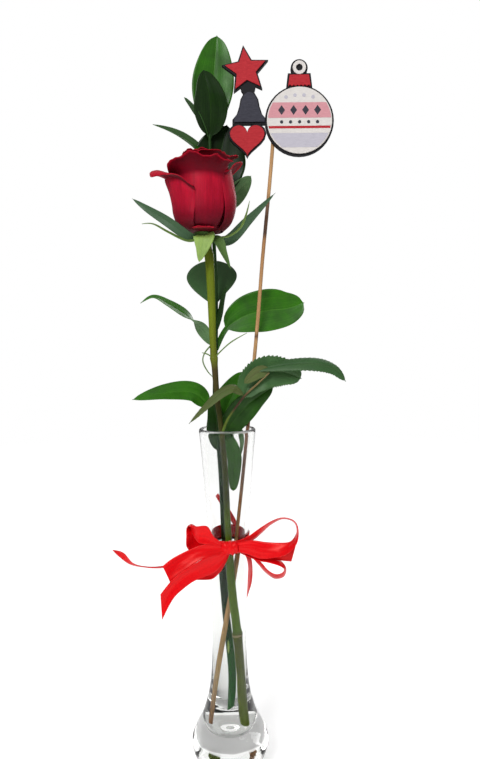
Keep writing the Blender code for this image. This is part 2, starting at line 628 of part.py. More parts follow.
def make_bloom():
    core = turned("core", BLOOM_CORE + [(0, 0)], 16)
    core.location = BLOOM_AXIS * MM
    pieces = [core]
    for name, petal in PETALS.items():
        pieces.append(blade(name, 8, 7, petal_rule(0.625, **petal), PETAL_THICK))
    for ring in PETAL_RINGS:
        for i in range(ring["count"]):
            petal = {key: [value] * 2 if key in ("length", "bend", "curl") else value
                     for key, value in ring.items() if key not in ("name", "count", "start")}
            rule = petal_rule(0.6, at=ring["start"] - i * 360 / ring["count"], **petal)
            pieces.append(blade(ring["name"] + str(i), 5, 6, rule, PETAL_THICK))
    bloom = fuse("rose_petals", pieces)
    return finish(bloom, "rose_petals", new_material("crimson_petal", (0.42, 0.005, 0.02), 0.6))


def without_path(leaf):
    return {key: value for key, value in leaf.items() if key not in ("path", "root")}


def make_rose_stem():
    pieces = [stem("stalk", ROSE_STEM, 3)]
    for name, sepal in SEPALS.items():
        path = vectors(sepal["path"])
        rule = leaf_rule(path, stalk=0.0, **without_path(sepal))
        pieces.append(blade(name, 7, 2, rule, LEAF_THICK))
    pieces.append(stem("leaf_stalk", LEAF_STALK))
    for name, leaf in LEAFLETS.items():
        rows = 12 if name == "pale" else 20
        rule = leaf_rule(vectors(leaf["path"]), stalk=0.03, teeth=rows, edge=0.1,
                         **without_path(leaf))
        pieces.append(blade(name, rows, 2, rule, LEAF_THICK))
    for name, path in STIPULES.items():
        pieces.append(tube(name, vectors(path), [STIPULE_RADIUS] * len(path), 1))
    rose = fuse("rose_stem", pieces, "MANIFOLD")
    return finish(rose, "rose_stem", new_material("rose_green", (0.09, 0.16, 0.02), 0.5))


def make_ruscus():
    pieces = [stem("stalk", RUSCUS_STEM)]
    for name, leaf in RUSCUS_LEAVES.items():
        path = [on_path(RUSCUS_STEM, leaf["root"])] + vectors(leaf["path"])
        rule = leaf_rule(path, **without_path(leaf))
        pieces.append(blade(name, 8, 3, rule, LEAF_THICK))
    spray = fuse("ruscus_spray", pieces)
    return finish(spray, "ruscus_spray", new_material("ruscus_green", (0.02, 0.13, 0.015), 0.35))


def outside_radius(height):
    for high, low in zip(VASE_OUTSIDE, VASE_OUTSIDE[1:]):
        if low[1] <= height <= high[1]:
            return low[0] + (high[0] - low[0]) * (height - low[1]) / (high[1] - low[1])
    return VASE_OUTSIDE[0][0]


def ribbon_rule(top, low):
    def place(u, v):
        return spline(low, u).lerp(spline(top, u), (v + 1) / 2)

    return place


def make_ribbon():
    """The bow: a band round the vase, a knot, and the loops and tails that leave it."""
    top = BAND_Z + BAND_HEIGHT / 2
    low = BAND_Z - BAND_HEIGHT / 2
    inner = [(outside_radius(low) + GAP, low), (outside_radius(top) + GAP, top)]
    outer = [(r + RIBBON_THICK, z) for r, z in reversed(inner)]
    band = baked(turned("band", inner + outer + inner[:1], 32))
    bm = bmesh.new()
    bmesh.ops.create_uvsphere(bm, u_segments=10, v_segments=7, radius=1.0)
    for vert in bm.verts:
        vert.co = (KNOT + Vector((vert.co.x * 5.4, vert.co.y * 2.9, vert.co.z * 4.6))) * MM
    pieces = [band, mesh_object("knot", bm)]
    for name, part in RIBBON_PARTS.items():
        rows = 2 * (len(part["top"]) - 1)
        rule = ribbon_rule(vectors(part["top"]), vectors(part["low"]))
        pieces.append(blade(name, rows, 1, rule, RIBBON_THICK))
    ribbon = fuse("ribbon", pieces, "MANIFOLD")
    return finish(ribbon, "ribbon", new_material("red_satin", (0.62, 0.0, 0.005), 0.35))


def make_skewer():
    path = vectors(SKEWER)
    count = 22
    points = [spline(path, i / count) for i in range(count + 1)]
    skewer = tube("pick_skewer", points, [SKEWER_RADIUS] * len(points))
    return finish(skewer, "pick_skewer", new_material("bamboo", (0.55, 0.33, 0.14), 0.6))


def circle(at, radius, sides=32):
    turn = 2 * math.pi / sides
    return [(at[0] + radius * math.cos(i * turn), at[1] + radius * math.sin(i * turn))
            for i in range(sides)]


def star_outline(at, radius, waist, grow=0.0):
    points = []
    for i in range(10):
        reach = (radius + grow * 1.7) if i % 2 == 0 else (waist + grow)
        angle = math.radians(96 + 36 * i)
        points.append((at[0] + reach * math.cos(angle), at[1] + reach * math.sin(angle)))
    return points


def bell_outline(at, width, height, grow=0.0):
    """A bell: a round crown, a flared skirt and a level lip."""
    half = width / 2 + grow
    low = at[1] - height / 2 - grow
    tall = height + 2 * grow
    side = [(1.0, 0.0), (1.0, 0.14), (0.74, 0.30), (0.60, 0.52), (0.52, 0.74), (0.32, 0.92),
            (0.12, 1.0)]
    right = [(at[0] + half * x, low + tall * z) for x, z in side]
    left = [(2 * at[0] - x, z) for x, z in reversed(right)]
    return right + left


def heart_outline(at, width, height, grow=0.0):
    points = []
    for i in range(28):
        t = 2 * math.pi * i / 28
        x = math.sin(t) ** 3
        z = (13 * math.cos(t) - 5 * math.cos(2 * t) - 2 * math.cos(3 * t) - math.cos(4 * t)) / 29
        points.append((at[0] + x * (width / 2 + grow), at[1] + (z + 0.09) * (height + 2 * grow)))
    return list(reversed(points))


def cap_outline(at, width, height, grow=0.0):
    """The bauble's cap, with a scalloped lower edge."""
    half = width / 2 + grow
    low = at[1] - height / 2 - grow
    high = at[1] + height / 2 + grow
    scallops = [(at[0] - half + width * i / 12 * half * 2 / width, low + (i % 2) * 1.1)
                for i in range(13)]
    return scallops + [(at[0] + half * 0.86, high), (at[0] - half * 0.86, high)]


def make_pick():
    """The pick's board and the painted wooden shapes on its front."""
    grow = BOARD_MARGIN
    shapes = [
        flat_shape("b_bauble", [circle(BAUBLE["at"], BAUBLE["radius"] + grow, 40)], BOARD_Y,
                   BOARD_THICK),
        flat_shape("b_cap", [cap_outline(**CAP, grow=grow)], BOARD_Y, BOARD_THICK),
        flat_shape("b_ring", [circle(RING["at"], RING["radius"] + grow, 20)], BOARD_Y, BOARD_THICK),
        flat_shape("b_link", [circle(**LINK, sides=16)], BOARD_Y, BOARD_THICK),
        flat_shape("b_star", [star_outline(**STAR, grow=grow)], BOARD_Y, BOARD_THICK),
        flat_shape("b_bell", [bell_outline(**BELL, grow=grow)], BOARD_Y, BOARD_THICK),
        flat_shape("b_heart", [heart_outline(**HEART, grow=grow)], BOARD_Y, BOARD_THICK),
    ]
    board = fuse("pick_board", shapes)
    finish(board, "pick_board", new_material("black_board", (0.01, 0.01, 0.012), 0.6), False)
    face_y = BOARD_Y - BOARD_THICK / 2 - GAP - FACE_THICK / 2
    red = new_material("red_paint", (0.55, 0.01, 0.02), 0.6)
    charcoal = new_material("charcoal_paint", (0.03, 0.03, 0.045), 0.6)
    white = new_material("white_paint", (0.85, 0.82, 0.78), 0.7)
    holes = circle(RING["at"], RING["hole"], 16)
    for name, outlines, material in (
        ("pick_bauble", [circle(BAUBLE["at"], BAUBLE["radius"], 40)], white),
        ("pick_cap", [cap_outline(**CAP)], red),
        ("pick_ring", [circle(RING["at"], RING["radius"], 20), holes], white),
        ("pick_star", [star_outline(**STAR)], red),
        ("pick_bell", [bell_outline(**BELL)], charcoal),
        ("pick_heart", [heart_outline(**HEART)], red),
    ):
        finish(flat_shape(name, outlines, face_y, FACE_THICK), name, material, False)


clear_scene()
MODEL = new_collection("rose_in_bud_vase")
CUTTERS = new_collection("cutters")
make_vase()
make_water()
make_bloom()
make_rose_stem()
make_ruscus()
make_ribbon()
make_skewer()
make_pick()
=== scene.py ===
from math import cos, exp, log, pi, radians, sin, sqrt

import bmesh
import bpy
from mathutils import Matrix, Vector, noise


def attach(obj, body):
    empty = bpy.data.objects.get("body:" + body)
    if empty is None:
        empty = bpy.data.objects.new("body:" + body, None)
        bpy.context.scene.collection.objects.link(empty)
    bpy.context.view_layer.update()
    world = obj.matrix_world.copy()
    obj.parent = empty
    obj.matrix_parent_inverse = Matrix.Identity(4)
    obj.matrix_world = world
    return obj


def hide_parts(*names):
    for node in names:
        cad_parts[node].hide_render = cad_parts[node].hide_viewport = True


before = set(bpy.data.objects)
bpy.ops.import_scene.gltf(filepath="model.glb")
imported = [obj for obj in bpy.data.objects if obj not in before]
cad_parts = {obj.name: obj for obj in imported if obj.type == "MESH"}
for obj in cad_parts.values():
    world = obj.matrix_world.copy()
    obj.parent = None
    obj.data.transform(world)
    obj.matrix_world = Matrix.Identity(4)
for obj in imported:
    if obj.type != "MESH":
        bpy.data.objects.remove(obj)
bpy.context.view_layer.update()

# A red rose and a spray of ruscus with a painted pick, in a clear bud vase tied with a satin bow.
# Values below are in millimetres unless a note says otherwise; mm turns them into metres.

mm = 0.001


# Curves, noise and small sums.

def spline(points, t):
    spans = len(points) - 1
    span = min(int(t * spans), spans - 1)
    f = t * spans - span
    a = points[max(span - 1, 0)]
    b = points[span]
    c = points[span + 1]
    d = points[min(span + 2, spans)]
    return (b * 2 + (c - a) * f + (a * 2 - b * 5 + c * 4 - d) * f * f
            + (b * 3 - a - c * 3 + d) * f * f * f) * 0.5


def pathFrame(path, t, step=0.02):
    ahead = spline(path, min(t + step, 1.0)) - spline(path, max(t - step, 0.0))
    return spline(path, t), ahead.normalized()


def vectors(points):
    return [Vector(p[:3]) for p in points]


def ease(t):
    t = max(0.0, min(1.0, t))
    return t * t * (3 - 2 * t)


def ripple(seed, *place):
    return noise.noise(Vector((*place, 0, 0)[:3]) + Vector((seed * 7.31, seed * 3.17, seed * 1.93)))


# Objects.

def meshObject(name, bm, materials, smooth=True):
    mesh = bpy.data.meshes.new(name)
    bm.to_mesh(mesh)
    bm.free()
    for material in materials:
        mesh.materials.append(material)
    if smooth:
        mesh.shade_smooth()
    obj = bpy.data.objects.new(name, mesh)
    bpy.context.scene.collection.objects.link(obj)
    return obj


def blade(name, place, rows, columns, thick, materials, tone=0.5):
    # A thin blade laid out by a rule: place(u, v), u from root to tip and v from -1 to 1 across.
    bm = bmesh.new()
    bm.loops.layers.uv.new("blade")
    bmesh.ops.create_grid(bm, x_segments=rows, y_segments=columns, size=1.0, calc_uvs=True)
    toneAndShadeLayer = bm.verts.layers.float.new("tone")
    for vert in bm.verts:
        vert.co = place((vert.co.x + 1) / 2, vert.co.y) * mm
        vert[toneAndShadeLayer] = tone
    bmesh.ops.reverse_faces(bm, faces=bm.faces)
    obj = meshObject(name, bm, materials)
    shell = obj.modifiers.new("Thickness", "SOLIDIFY")
    shell.thickness = thick * mm
    shell.offset = 0.0
    shell.material_offset = len(materials) - 1
    shell.use_quality_normals = True
    return obj


def tube(name, path, radii, rings, sides, material, swell=None, tone=0.5):
    # A round stem with a closed end at each side; swell(t, angle) scales its radius.
    bm = bmesh.new()
    uvLayer = bm.loops.layers.uv.new("blade")
    toneAndShadeLayer = bm.verts.layers.float.new("tone")
    loops = []
    for i in range(rings + 1):
        t = i / rings
        here, ahead = pathFrame(path, t)
        side = ahead.cross(Vector((0, 1, 0))).normalized()
        front = side.cross(ahead)
        ring = []
        for j in range(sides):
            angle = 2 * pi * j / sides
            radius = spline(radii, t) * (swell(t, angle) if swell else 1.0)
            out = side * cos(angle) + front * sin(angle)
            vert = bm.verts.new((here + out * radius) * mm)
            vert[toneAndShadeLayer] = tone
            ring.append(vert)
        loops.append(ring)
    for i in range(rings):
        for j in range(sides):
            corners = ((i, j), (i, j + 1), (i + 1, j + 1), (i + 1, j))
            face = bm.faces.new([loops[along][around % sides] for along, around in corners])
            for loop, (along, around) in zip(face.loops, corners):
                loop[uvLayer].uv = (along / rings, around / sides)
    bm.faces.new(loops[0])
    bm.faces.new(loops[-1][::-1])
    bmesh.ops.recalc_face_normals(bm, faces=bm.faces)
    return meshObject(name, bm, [material])


def turned(name, profile, steps, material):
    bm = bmesh.new()
    verts = [bm.verts.new((radius * mm, 0, height * mm)) for radius, height in profile]
    for first, second in zip(verts, verts[1:]):
        bm.edges.new((first, second))
    obj = meshObject(name, bm, [material])
    screw = obj.modifiers.new("Turn", "SCREW")
    screw.steps = screw.render_steps = steps
    screw.use_merge_vertices = True
    screw.merge_threshold = 0.000001
    screw.use_smooth_shade = True
    return obj


def stands(obj, node, slot):
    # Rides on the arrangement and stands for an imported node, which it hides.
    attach(obj, "root")
    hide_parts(node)


def without(values, *names):
    return {key: value for key, value in values.items() if key not in names}


# Materials.

class Nodes:
    # A node tree and the kinds of node that the looks and the world share.
    def __init__(self, tree):
        self.tree = tree

    def add(self, kind, inputs={}, **settings):
        made = self.tree.nodes.new("ShaderNode" + kind)
        for key, value in settings.items():
            setattr(made, key, value)
        for key, value in inputs.items():
            if isinstance(value, bpy.types.NodeSocket):
                self.tree.links.new(value, made.inputs[key])
            else:
                made.inputs[key].default_value = value
        return made.outputs

    def feed(self, name, socket, node="Principled BSDF"):
        self.tree.links.new(socket, self.tree.nodes[node].inputs[name])

    def axis(self, source, name):
        return self.add("SeparateXYZ", {"Vector": source})[name]

    def length(self, source):
        return self.add("VectorMath", {0: source}, operation="LENGTH")["Value"]

    def sum(self, operation, first, second=0.0, **settings):
        return self.add("Math", {0: first, 1: second}, operation=operation, **settings)[0]

    def range(self, value, low, high, to=(0.0, 1.0), **settings):
        return self.add("MapRange", {"Value": value, "From Min": low, "From Max": high,
                                     "To Min": to[0], "To Max": to[1]}, **settings)[0]

    def choose(self, share, first, second):
        return self.add("Mix", {0: share, 2: first, 3: second})[0]


class Look(Nodes):
    # A Principled material and the nodes that feed it.
    def __init__(self, name, roughness, **sockets):
        self.material = bpy.data.materials.new(name)
        self.material.use_nodes = True
        super().__init__(self.material.node_tree)
        self.shader = self.tree.nodes["Principled BSDF"]
        for key, value in {"Roughness": roughness, **sockets}.items():
            self.shader.inputs[key.replace("_", " ")].default_value = value

    def stretch(self, source, scale, shift=(0, 0, 0)):
        return self.add("Mapping", {"Vector": source, "Scale": scale, "Location": shift})[0]

    def uv(self, along=1.0, across=1.0):
        source = self.add("UVMap", uv_map="blade")["UV"]
        return self.stretch(source, (along, across, 1.0))

    def place(self, scale=(1, 1, 1), shift=(0, 0, 0)):
        return self.stretch(self.add("TexCoord")["Object"], scale, shift)

    def noise(self, vector, scale, detail=3.0, rough=0.5, distortion=0.0):
        return self.add("TexNoise", {"Vector": vector, "Scale": scale, "Detail": detail,
                                     "Roughness": rough, "Distortion": distortion})["Fac"]

    def ramp(self, value, *stops):
        made = self.add("ValToRGB", {"Fac": value})["Color"]
        elements = made.node.color_ramp.elements
        while len(elements) < len(stops):
            elements.new(0.5)
        for element, (position, colour) in zip(elements, stops):
            element.position = position
            element.color = (*colour, 1.0)
        return made

    def mix(self, share, *colours):
        first, second = (c if isinstance(c, bpy.types.NodeSocket) else (*c, 1.0) for c in colours)
        return self.add("Mix", {0: share, 6: first, 7: second}, data_type="RGBA")[2]

    def over(self, base, paint, mask, low, high, most):
        # Lays paint over base where the mask is between low and high, up to a share of most.
        return self.mix(self.range(mask, low, high, (0.0, most)), base, paint)

    def colour(self, socket):
        self.feed("Base Color", socket)

    def rough(self, mask, smooth, coarse, low=0.3, high=0.7):
        self.feed("Roughness", self.range(mask, low, high, (smooth, coarse)))

    def bump(self, height, distance, strength):
        self.feed("Normal", self.add("Bump", {"Height": height, "Distance": distance * mm,
                                              "Strength": strength})["Normal"])


def petalLook(name, stops, vein, mid):
    # stops runs from the claw of the petal to its rim.
    look = Look(name, 0.55, Sheen_Weight=0.1, Sheen_Roughness=0.35, Sheen_Tint=(1, 0.3, 0.42, 1),
                Specular_IOR_Level=0.22, Specular_Tint=(1, 0.45, 0.5, 1), Subsurface_Weight=0.1,
                Subsurface_Scale=0.001, Subsurface_Radius=(1, 0.12, 0.1))
    veins = look.noise(look.uv(2.2, 52.0), 1.0, 5.0, 0.62, 0.5)
    patches = look.noise(look.uv(3.0, 4.0), 1.0)
    base = look.ramp(look.axis(look.uv(), "X"), *stops)
    veined = look.over(base, vein, veins, 0.38, 0.78, 0.75)
    look.colour(look.over(veined, mid, patches, 0.35, 0.7, 0.45))
    look.rough(patches, 0.46, 0.64)
    look.bump(veins, 0.14, 0.55)
    return look.material


def leafLook(name, dark, light, vein, gloss, veins=26.0, bumpSize=0.06):
    look = Look(name, gloss, Specular_IOR_Level=0.22)
    across = look.sum("ABSOLUTE", look.sum("SUBTRACT", look.axis(look.uv(), "Y"), 0.5))
    lines = look.noise(look.uv(1.4, veins), 1.0, 2.0, 0.5, 0.15)
    fine = look.noise(look.uv(9.0, veins * 3.0), 1.0, 3.0, 0.6)
    patches = look.noise(look.place(), 90.0, 4.0)
    # Each leaf's tone sets it between the dark and the light green: partly the leaf's own colour and
    # partly painted shade, low on the leaves that sit in shadow behind and below the bloom.
    tone = look.add("Attribute", attribute_name="tone")["Fac"]
    body = look.mix(tone, dark, light)
    ridge = look.mix(tone, tuple(part * 0.22 for part in vein), vein)
    lined = look.over(body, ridge, lines, 0.42, 0.74, 0.5)
    flecked = look.over(lined, dark, fine, 0.45, 0.75, 0.35)
    shaded = look.over(flecked, dark, patches, 0.35, 0.75, 0.5)
    rimmed = look.over(shaded, ridge, across, 0.455, 0.5, 0.35)
    midrib = look.range(across, 0.0, 0.02, (0.6, 0.0))
    look.colour(look.mix(midrib, rimmed, ridge))
    look.rough(patches, gloss - 0.06, gloss + 0.12)
    look.bump(look.sum("ADD", lines, look.sum("MULTIPLY", midrib, -2.0)), bumpSize, 0.6)
    return look.material


print("materials")
# Outer face: the near-black claw is painted shade where the petals close in, the dark band from 0.69
# to 0.94 is painted shade under the flared lip, and the bright last stop is a painted highlight on
# the rolled rim.
petalOuter = petalLook("petalOuter", [(0.0, (0.014, 0.0, 0.002)), (0.1, (0.05, 0.001, 0.006)),
    (0.24, (0.2, 0.002, 0.013)), (0.42, (0.46, 0.004, 0.026)), (0.6, (0.52, 0.006, 0.03)),
    (0.69, (0.12, 0.0, 0.007)), (0.94, (0.08, 0.0, 0.004)), (0.985, (0.46, 0.004, 0.02))],
    (0.12, 0.0, 0.008), (0.24, 0.001, 0.012))
# Inner face: the darkening towards the claw is painted shade deep in the cup.
petalInner = petalLook("petalInner", [(0.0, (0.06, 0.0, 0.006)), (0.5, (0.2, 0.001, 0.01)),
    (0.68, (0.42, 0.004, 0.018)), (0.95, (0.5, 0.006, 0.022)), (1.0, (0.42, 0.004, 0.018))],
    (0.2, 0.0, 0.012), (0.34, 0.002, 0.014))
ruscusUpper = leafLook("ruscusUpper", (0.003, 0.014, 0.001), (0.032, 0.165, 0.006),
    (0.075, 0.24, 0.02), 0.34)
ruscusUnder = leafLook("ruscusUnder", (0.03, 0.085, 0.025), (0.1, 0.2, 0.075), (0.17, 0.29, 0.13),
    0.5)
roseLeafUpper = leafLook("roseLeafUpper", (0.014, 0.05, 0.016), (0.06, 0.15, 0.045),
    (0.1, 0.19, 0.06), 0.42, 9.0, 0.15)
roseLeafUnder = leafLook("roseLeafUnder", (0.05, 0.085, 0.022), (0.12, 0.16, 0.045),
    (0.17, 0.13, 0.05), 0.55, 9.0, 0.15)
sepalLook = leafLook("sepalGreen", (0.03, 0.085, 0.022), (0.34, 0.5, 0.11), (0.2, 0.34, 0.1), 0.45,
    8.0)
sepalGrey = leafLook("sepalGreyGreen", (0.035, 0.085, 0.04), (0.09, 0.17, 0.08), (0.15, 0.25, 0.12),
    0.5, 8.0)


def stemLook(name, stops, gloss, speckle, scarAndHighlight=None):
    # The last argument is a pale patch: its middle in mm, how far it reaches along each axis, and
    # its colour. On the rose stem it is the scar ring at the node; on the ruscus stem it is a
    # painted highlight, a narrow streak down the stem's front.
    look = Look(name, gloss, Specular_IOR_Level=0.12)
    height = look.range(look.axis(look.place(), "Z"), 0.0, 0.4)
    streaks = look.noise(look.place((900, 900, 30)), 1.0, 4.0, 0.6)
    specks = look.noise(look.place(), 900.0, 2.0)
    streaked = look.over(look.ramp(height, *stops), speckle, streaks, 0.35, 0.8, 0.5)
    body = look.over(streaked, speckle, specks, 0.66, 0.72, 0.6)
    if scarAndHighlight:
        middle, reach, pale = scarAndHighlight
        far = look.length(look.place([1 / (r * mm) for r in reach],
                                     [-m / r for m, r in zip(middle, reach)]))
        body = look.mix(look.range(far, 0.8, 1.1, (0.85, 0.0)), body, pale)
    look.colour(body)
    look.rough(streaks, gloss - 0.08, gloss + 0.15)
    look.bump(streaks, 0.12, 0.5)
    return look.material


# The rose stem darkens from about 192 to 286 mm: painted shade cast by the leaves at and above the
# vase's mouth.
roseStemLook = stemLook("roseStemGreen", [(0.07, (0.2, 0.29, 0.04)), (0.2, (0.16, 0.21, 0.03)),
    (0.242, (0.14, 0.18, 0.03)), (0.25, (0.15, 0.3, 0.02)), (0.4, (0.17, 0.32, 0.022)),
    (0.48, (0.035, 0.055, 0.01)), (0.62, (0.045, 0.05, 0.01)), (0.7, (0.06, 0.04, 0.015)),
    (0.716, (0.13, 0.16, 0.014)), (0.8, (0.17, 0.23, 0.012)), (0.9, (0.11, 0.15, 0.008)),
    (0.925, (0.045, 0.11, 0.015))], 0.36, (0.07, 0.055, 0.012), ((4.3, -5.2, 96.0), (4.0, 3.0, 0.9),
    (0.42, 0.36, 0.16)))
# The ruscus stem is dark green from about 104 mm up and darkest at the vase's mouth, its own colour
# deepened by painted shade of the leaves there. Its pale patch at 86 mm is a painted highlight, a
# narrow streak down the stem's front.
ruscusStemLook = stemLook("ruscusStemGreen", [(0.07, (0.03, 0.2, 0.035)),
    (0.2, (0.028, 0.17, 0.028)), (0.26, (0.008, 0.05, 0.01)), (0.6, (0.004, 0.016, 0.003)),
    (0.9, (0.018, 0.05, 0.01))], 0.32, (0.02, 0.07, 0.02), ((-0.6, 3.2, 86.0), (0.55, 1.6, 5.0),
    (0.42, 0.62, 0.16)))
stalkLook = stemLook("leafStalkRed", [(0.6, (0.12, 0.2, 0.03)), (0.622, (0.12, 0.18, 0.03)),
    (0.636, (0.055, 0.032, 0.02)), (0.655, (0.06, 0.035, 0.02)), (0.67, (0.2, 0.15, 0.06)),
    (0.7, (0.26, 0.2, 0.09))], 0.45, (0.05, 0.02, 0.01))


def bambooLook():
    look = Look("bamboo", 0.6, Specular_IOR_Level=0.3)
    height = look.range(look.axis(look.place(), "Z"), 0.0, 0.5)
    grain = look.noise(look.place((1500, 1500, 25)), 1.0, 4.0, 0.7)
    tan = (0.54, 0.31, 0.135)
    # Up the skewer: painted shade of the leaves at the vase's mouth from about 210 to 280 mm, a real
    # dark knot at 303 mm, and painted shade under the bloom and its sepal from about 367 to 400 mm.
    stops = [(0.05, (0.46, 0.2, 0.09)), (0.13, (0.9, 0.6, 0.26)), (0.3, (0.66, 0.38, 0.14)),
        (0.42, (0.13, 0.05, 0.022)), (0.52, (0.17, 0.08, 0.04)), (0.56, tan), (0.6, tan),
        (0.606, (0.08, 0.03, 0.015)), (0.612, tan), (0.735, (0.4, 0.2, 0.08)),
        (0.745, (0.035, 0.02, 0.015)), (0.785, (0.14, 0.08, 0.05)), (0.8, tan)]
    body = look.ramp(height, *stops)
    look.colour(look.over(body, (0.16, 0.065, 0.025), grain, 0.35, 0.8, 0.6))
    look.rough(grain, 0.5, 0.75)
    look.bump(grain, 0.08, 0.6)
    return look.material


def paintLook(name, paint, worn, gloss):
    look = Look(name, gloss, Specular_IOR_Level=0.2)
    grain = look.noise(look.place((260, 300, 1400)), 1.0, 5.0, 0.65, 0.2)
    wear = look.noise(look.place(), 420.0, 5.0, 0.7)
    body = look.over(paint, worn, grain, 0.35, 0.75, 0.55)
    look.colour(look.over(body, worn, wear, 0.6, 0.72, 0.5))
    look.rough(grain, gloss - 0.1, gloss + 0.15)
    look.bump(look.sum("ADD", grain, wear), 0.08, 0.7)
    return look.material


def satinLook():
    look = Look("redSatin", 0.3, Anisotropic=0.5, Sheen_Weight=0.08, Sheen_Roughness=0.3,
                Sheen_Tint=(1, 0.25, 0.2, 1), Specular_IOR_Level=0.55,
                Specular_Tint=(1, 0.32, 0.28, 1))
    threads = look.noise(look.uv(160.0, 1.5), 1.0, 2.0)
    folds = look.noise(look.uv(1.2, 7.0), 1.0, 2.0)
    weave = look.noise(look.place(), 1400.0, 2.0)
    # The fold noise darkens the red: painted shade in the ribbon's folds.
    body = look.over((0.84, 0.002, 0.006), (0.58, 0.0, 0.004), folds, 0.35, 0.7, 0.6)
    look.colour(look.over(body, (0.34, 0.0, 0.004), weave, 0.4, 0.7, 0.25))
    look.rough(threads, 0.26, 0.4)
    look.bump(look.sum("ADD", look.sum("MULTIPLY", threads, 0.3), folds), 0.22, 0.35)
    return look.material


def clearLook(name, ior):
    return Look(name, 0.0, Transmission_Weight=1.0, IOR=ior, Specular_Tint=(0.25, 0.25, 0.25, 1))


def glassLook():
    look = clearLook("clearGlass", 1.5)
    height = look.axis(look.place(), "Z")
    waves = look.noise(look.place((1, 1, 0.3)), 60.0, 1.0)
    streaks = look.noise(look.place((1, 1, 1.8)), 70.0, 2.0, 0.5, 0.6)
    foot = look.range(height, 0.024, 0.04, (4.0, 0.0))
    look.colour(look.ramp(waves, (0.3, (0.97, 0.975, 0.965)), (0.7, (0.99, 0.992, 0.985))))
    look.rough(height, 0.0, 0.5, 0.238, 0.2392)
    look.bump(look.sum("ADD", waves, look.sum("MULTIPLY", streaks, foot)), 0.25, 0.12)
    return look.material


def waterLook():
    look = clearLook("water", 1.33)
    waves = look.noise(look.place(), 40.0, 1.0)
    look.colour(look.ramp(waves, (0.3, (0.975, 0.985, 0.975)), (0.7, (0.99, 0.995, 0.985))))
    look.bump(waves, 0.1, 0.05)
    return look.material


bamboo = bambooLook()
redSatin = satinLook()
clearGlass = glassLook()
waterClear = waterLook()
blackBoard = paintLook("blackBoard", (0.006, 0.006, 0.008), (0.022, 0.02, 0.024), 0.6)
redPaint = paintLook("redPaint", (0.46, 0.022, 0.03), (0.24, 0.006, 0.014), 0.65)
charcoalPaint = paintLook("charcoalPaint", (0.026, 0.026, 0.038), (0.075, 0.075, 0.095), 0.6)
whitePaint = paintLook("whitePaint", (0.7, 0.665, 0.63), (0.46, 0.43, 0.44), 0.75)
pinkPaint = paintLook("pinkPaint", (0.62, 0.29, 0.32), (0.48, 0.2, 0.24), 0.7)
lilacPaint = paintLook("lilacPaint", (0.5, 0.48, 0.54), (0.38, 0.36, 0.42), 0.75)

# Vase and water.

vase = dict(
    steps=144, spanSteps=8, rimRadius=19.4, rimWall=2.5, rimLift=1.5, height=240.0, floor=27.0,
    waterTop=160.0,
    outside=[(19.4, 238.5), (17, 210), (14.6, 174), (13.1, 148), (12.2, 124), (11.9, 100),
        (12.1, 80), (13.2, 64), (14.8, 53), (16.8, 45.5), (19.4, 37.5), (23.9, 28.6), (26.8, 20),
        (24.8, 10.6), (19.2, 3.2), (12.5, 0)],
    inside=[(0, 27), (10.6, 27.2), (12.9, 29), (14.3, 33.5), (14.1, 43), (12.4, 57), (10.4, 76),
        (9.6, 100), (9.9, 124), (10.8, 148), (12.2, 174), (14.6, 210), (16.9, 238.5)],
    waterOverlap=0.12, meniscus=0.9, meniscusFrom=0.8)


def smoothLine(points):
    line = [Vector((r, z, 0)) for r, z in points]
    count = vase["spanSteps"] * (len(points) - 1)
    return [tuple(spline(line, i / count)[:2]) for i in range(count + 1)]


def makeVase():
    half = vase["rimWall"] / 2
    middle = vase["rimRadius"] - half
    lift = vase["rimLift"]
    rim = [(middle + half * cos(radians(a)), vase["height"] - lift + lift * sin(radians(a)))
           for a in (160, 140, 115, 90, 65, 40, 20)]
    outline = smoothLine(vase["inside"]) + rim + smoothLine(vase["outside"])
    profile = [(max(r, 0.0), z) for r, z in outline] + [(0, 0)]
    stands(turned("vaseGlass", profile, vase["steps"], clearGlass), "vase", "clear_glass")


def makeWater():
    top = vase["waterTop"]
    over = vase["waterOverlap"]
    start = vase["meniscusFrom"]
    wall = [(r + over, z) for r, z in reversed(smoothLine(vase["inside"])) if z < top and r > 1.0]
    surface = [(0, top)] + [
        (wall[0][0] * s, top + vase["meniscus"] * (max(s - start, 0) / (1 - start)) ** 2)
        for s in (0.3, 0.6, start, 0.86, 0.92, 0.96, 1.0)]
    profile = surface + wall + [(0, vase["floor"] - over)]
    stands(turned("waterBody", profile, vase["steps"], waterClear), "water", "water")


print("vase and water")
makeVase()
makeWater()

# The bloom.

bloom = dict(
    axis=Vector((-13.6, -6.0, 371.5)), thick=0.45, rows=76, columns=52, bodyShare=0.64, lift=0.9,
    waves=1.54, scallop=0.2, lipTurn=50, wander=0.45, crinkle=0.1, wrap=0.84, lipSteps=12,
    core=[(0, 45), (2.6, 43), (3.8, 36), (6.4, 26), (9.6, 15), (12.2, 6), (12.2, 2.4), (10.2, 0.4),
        (7, 0), (0, 0)])

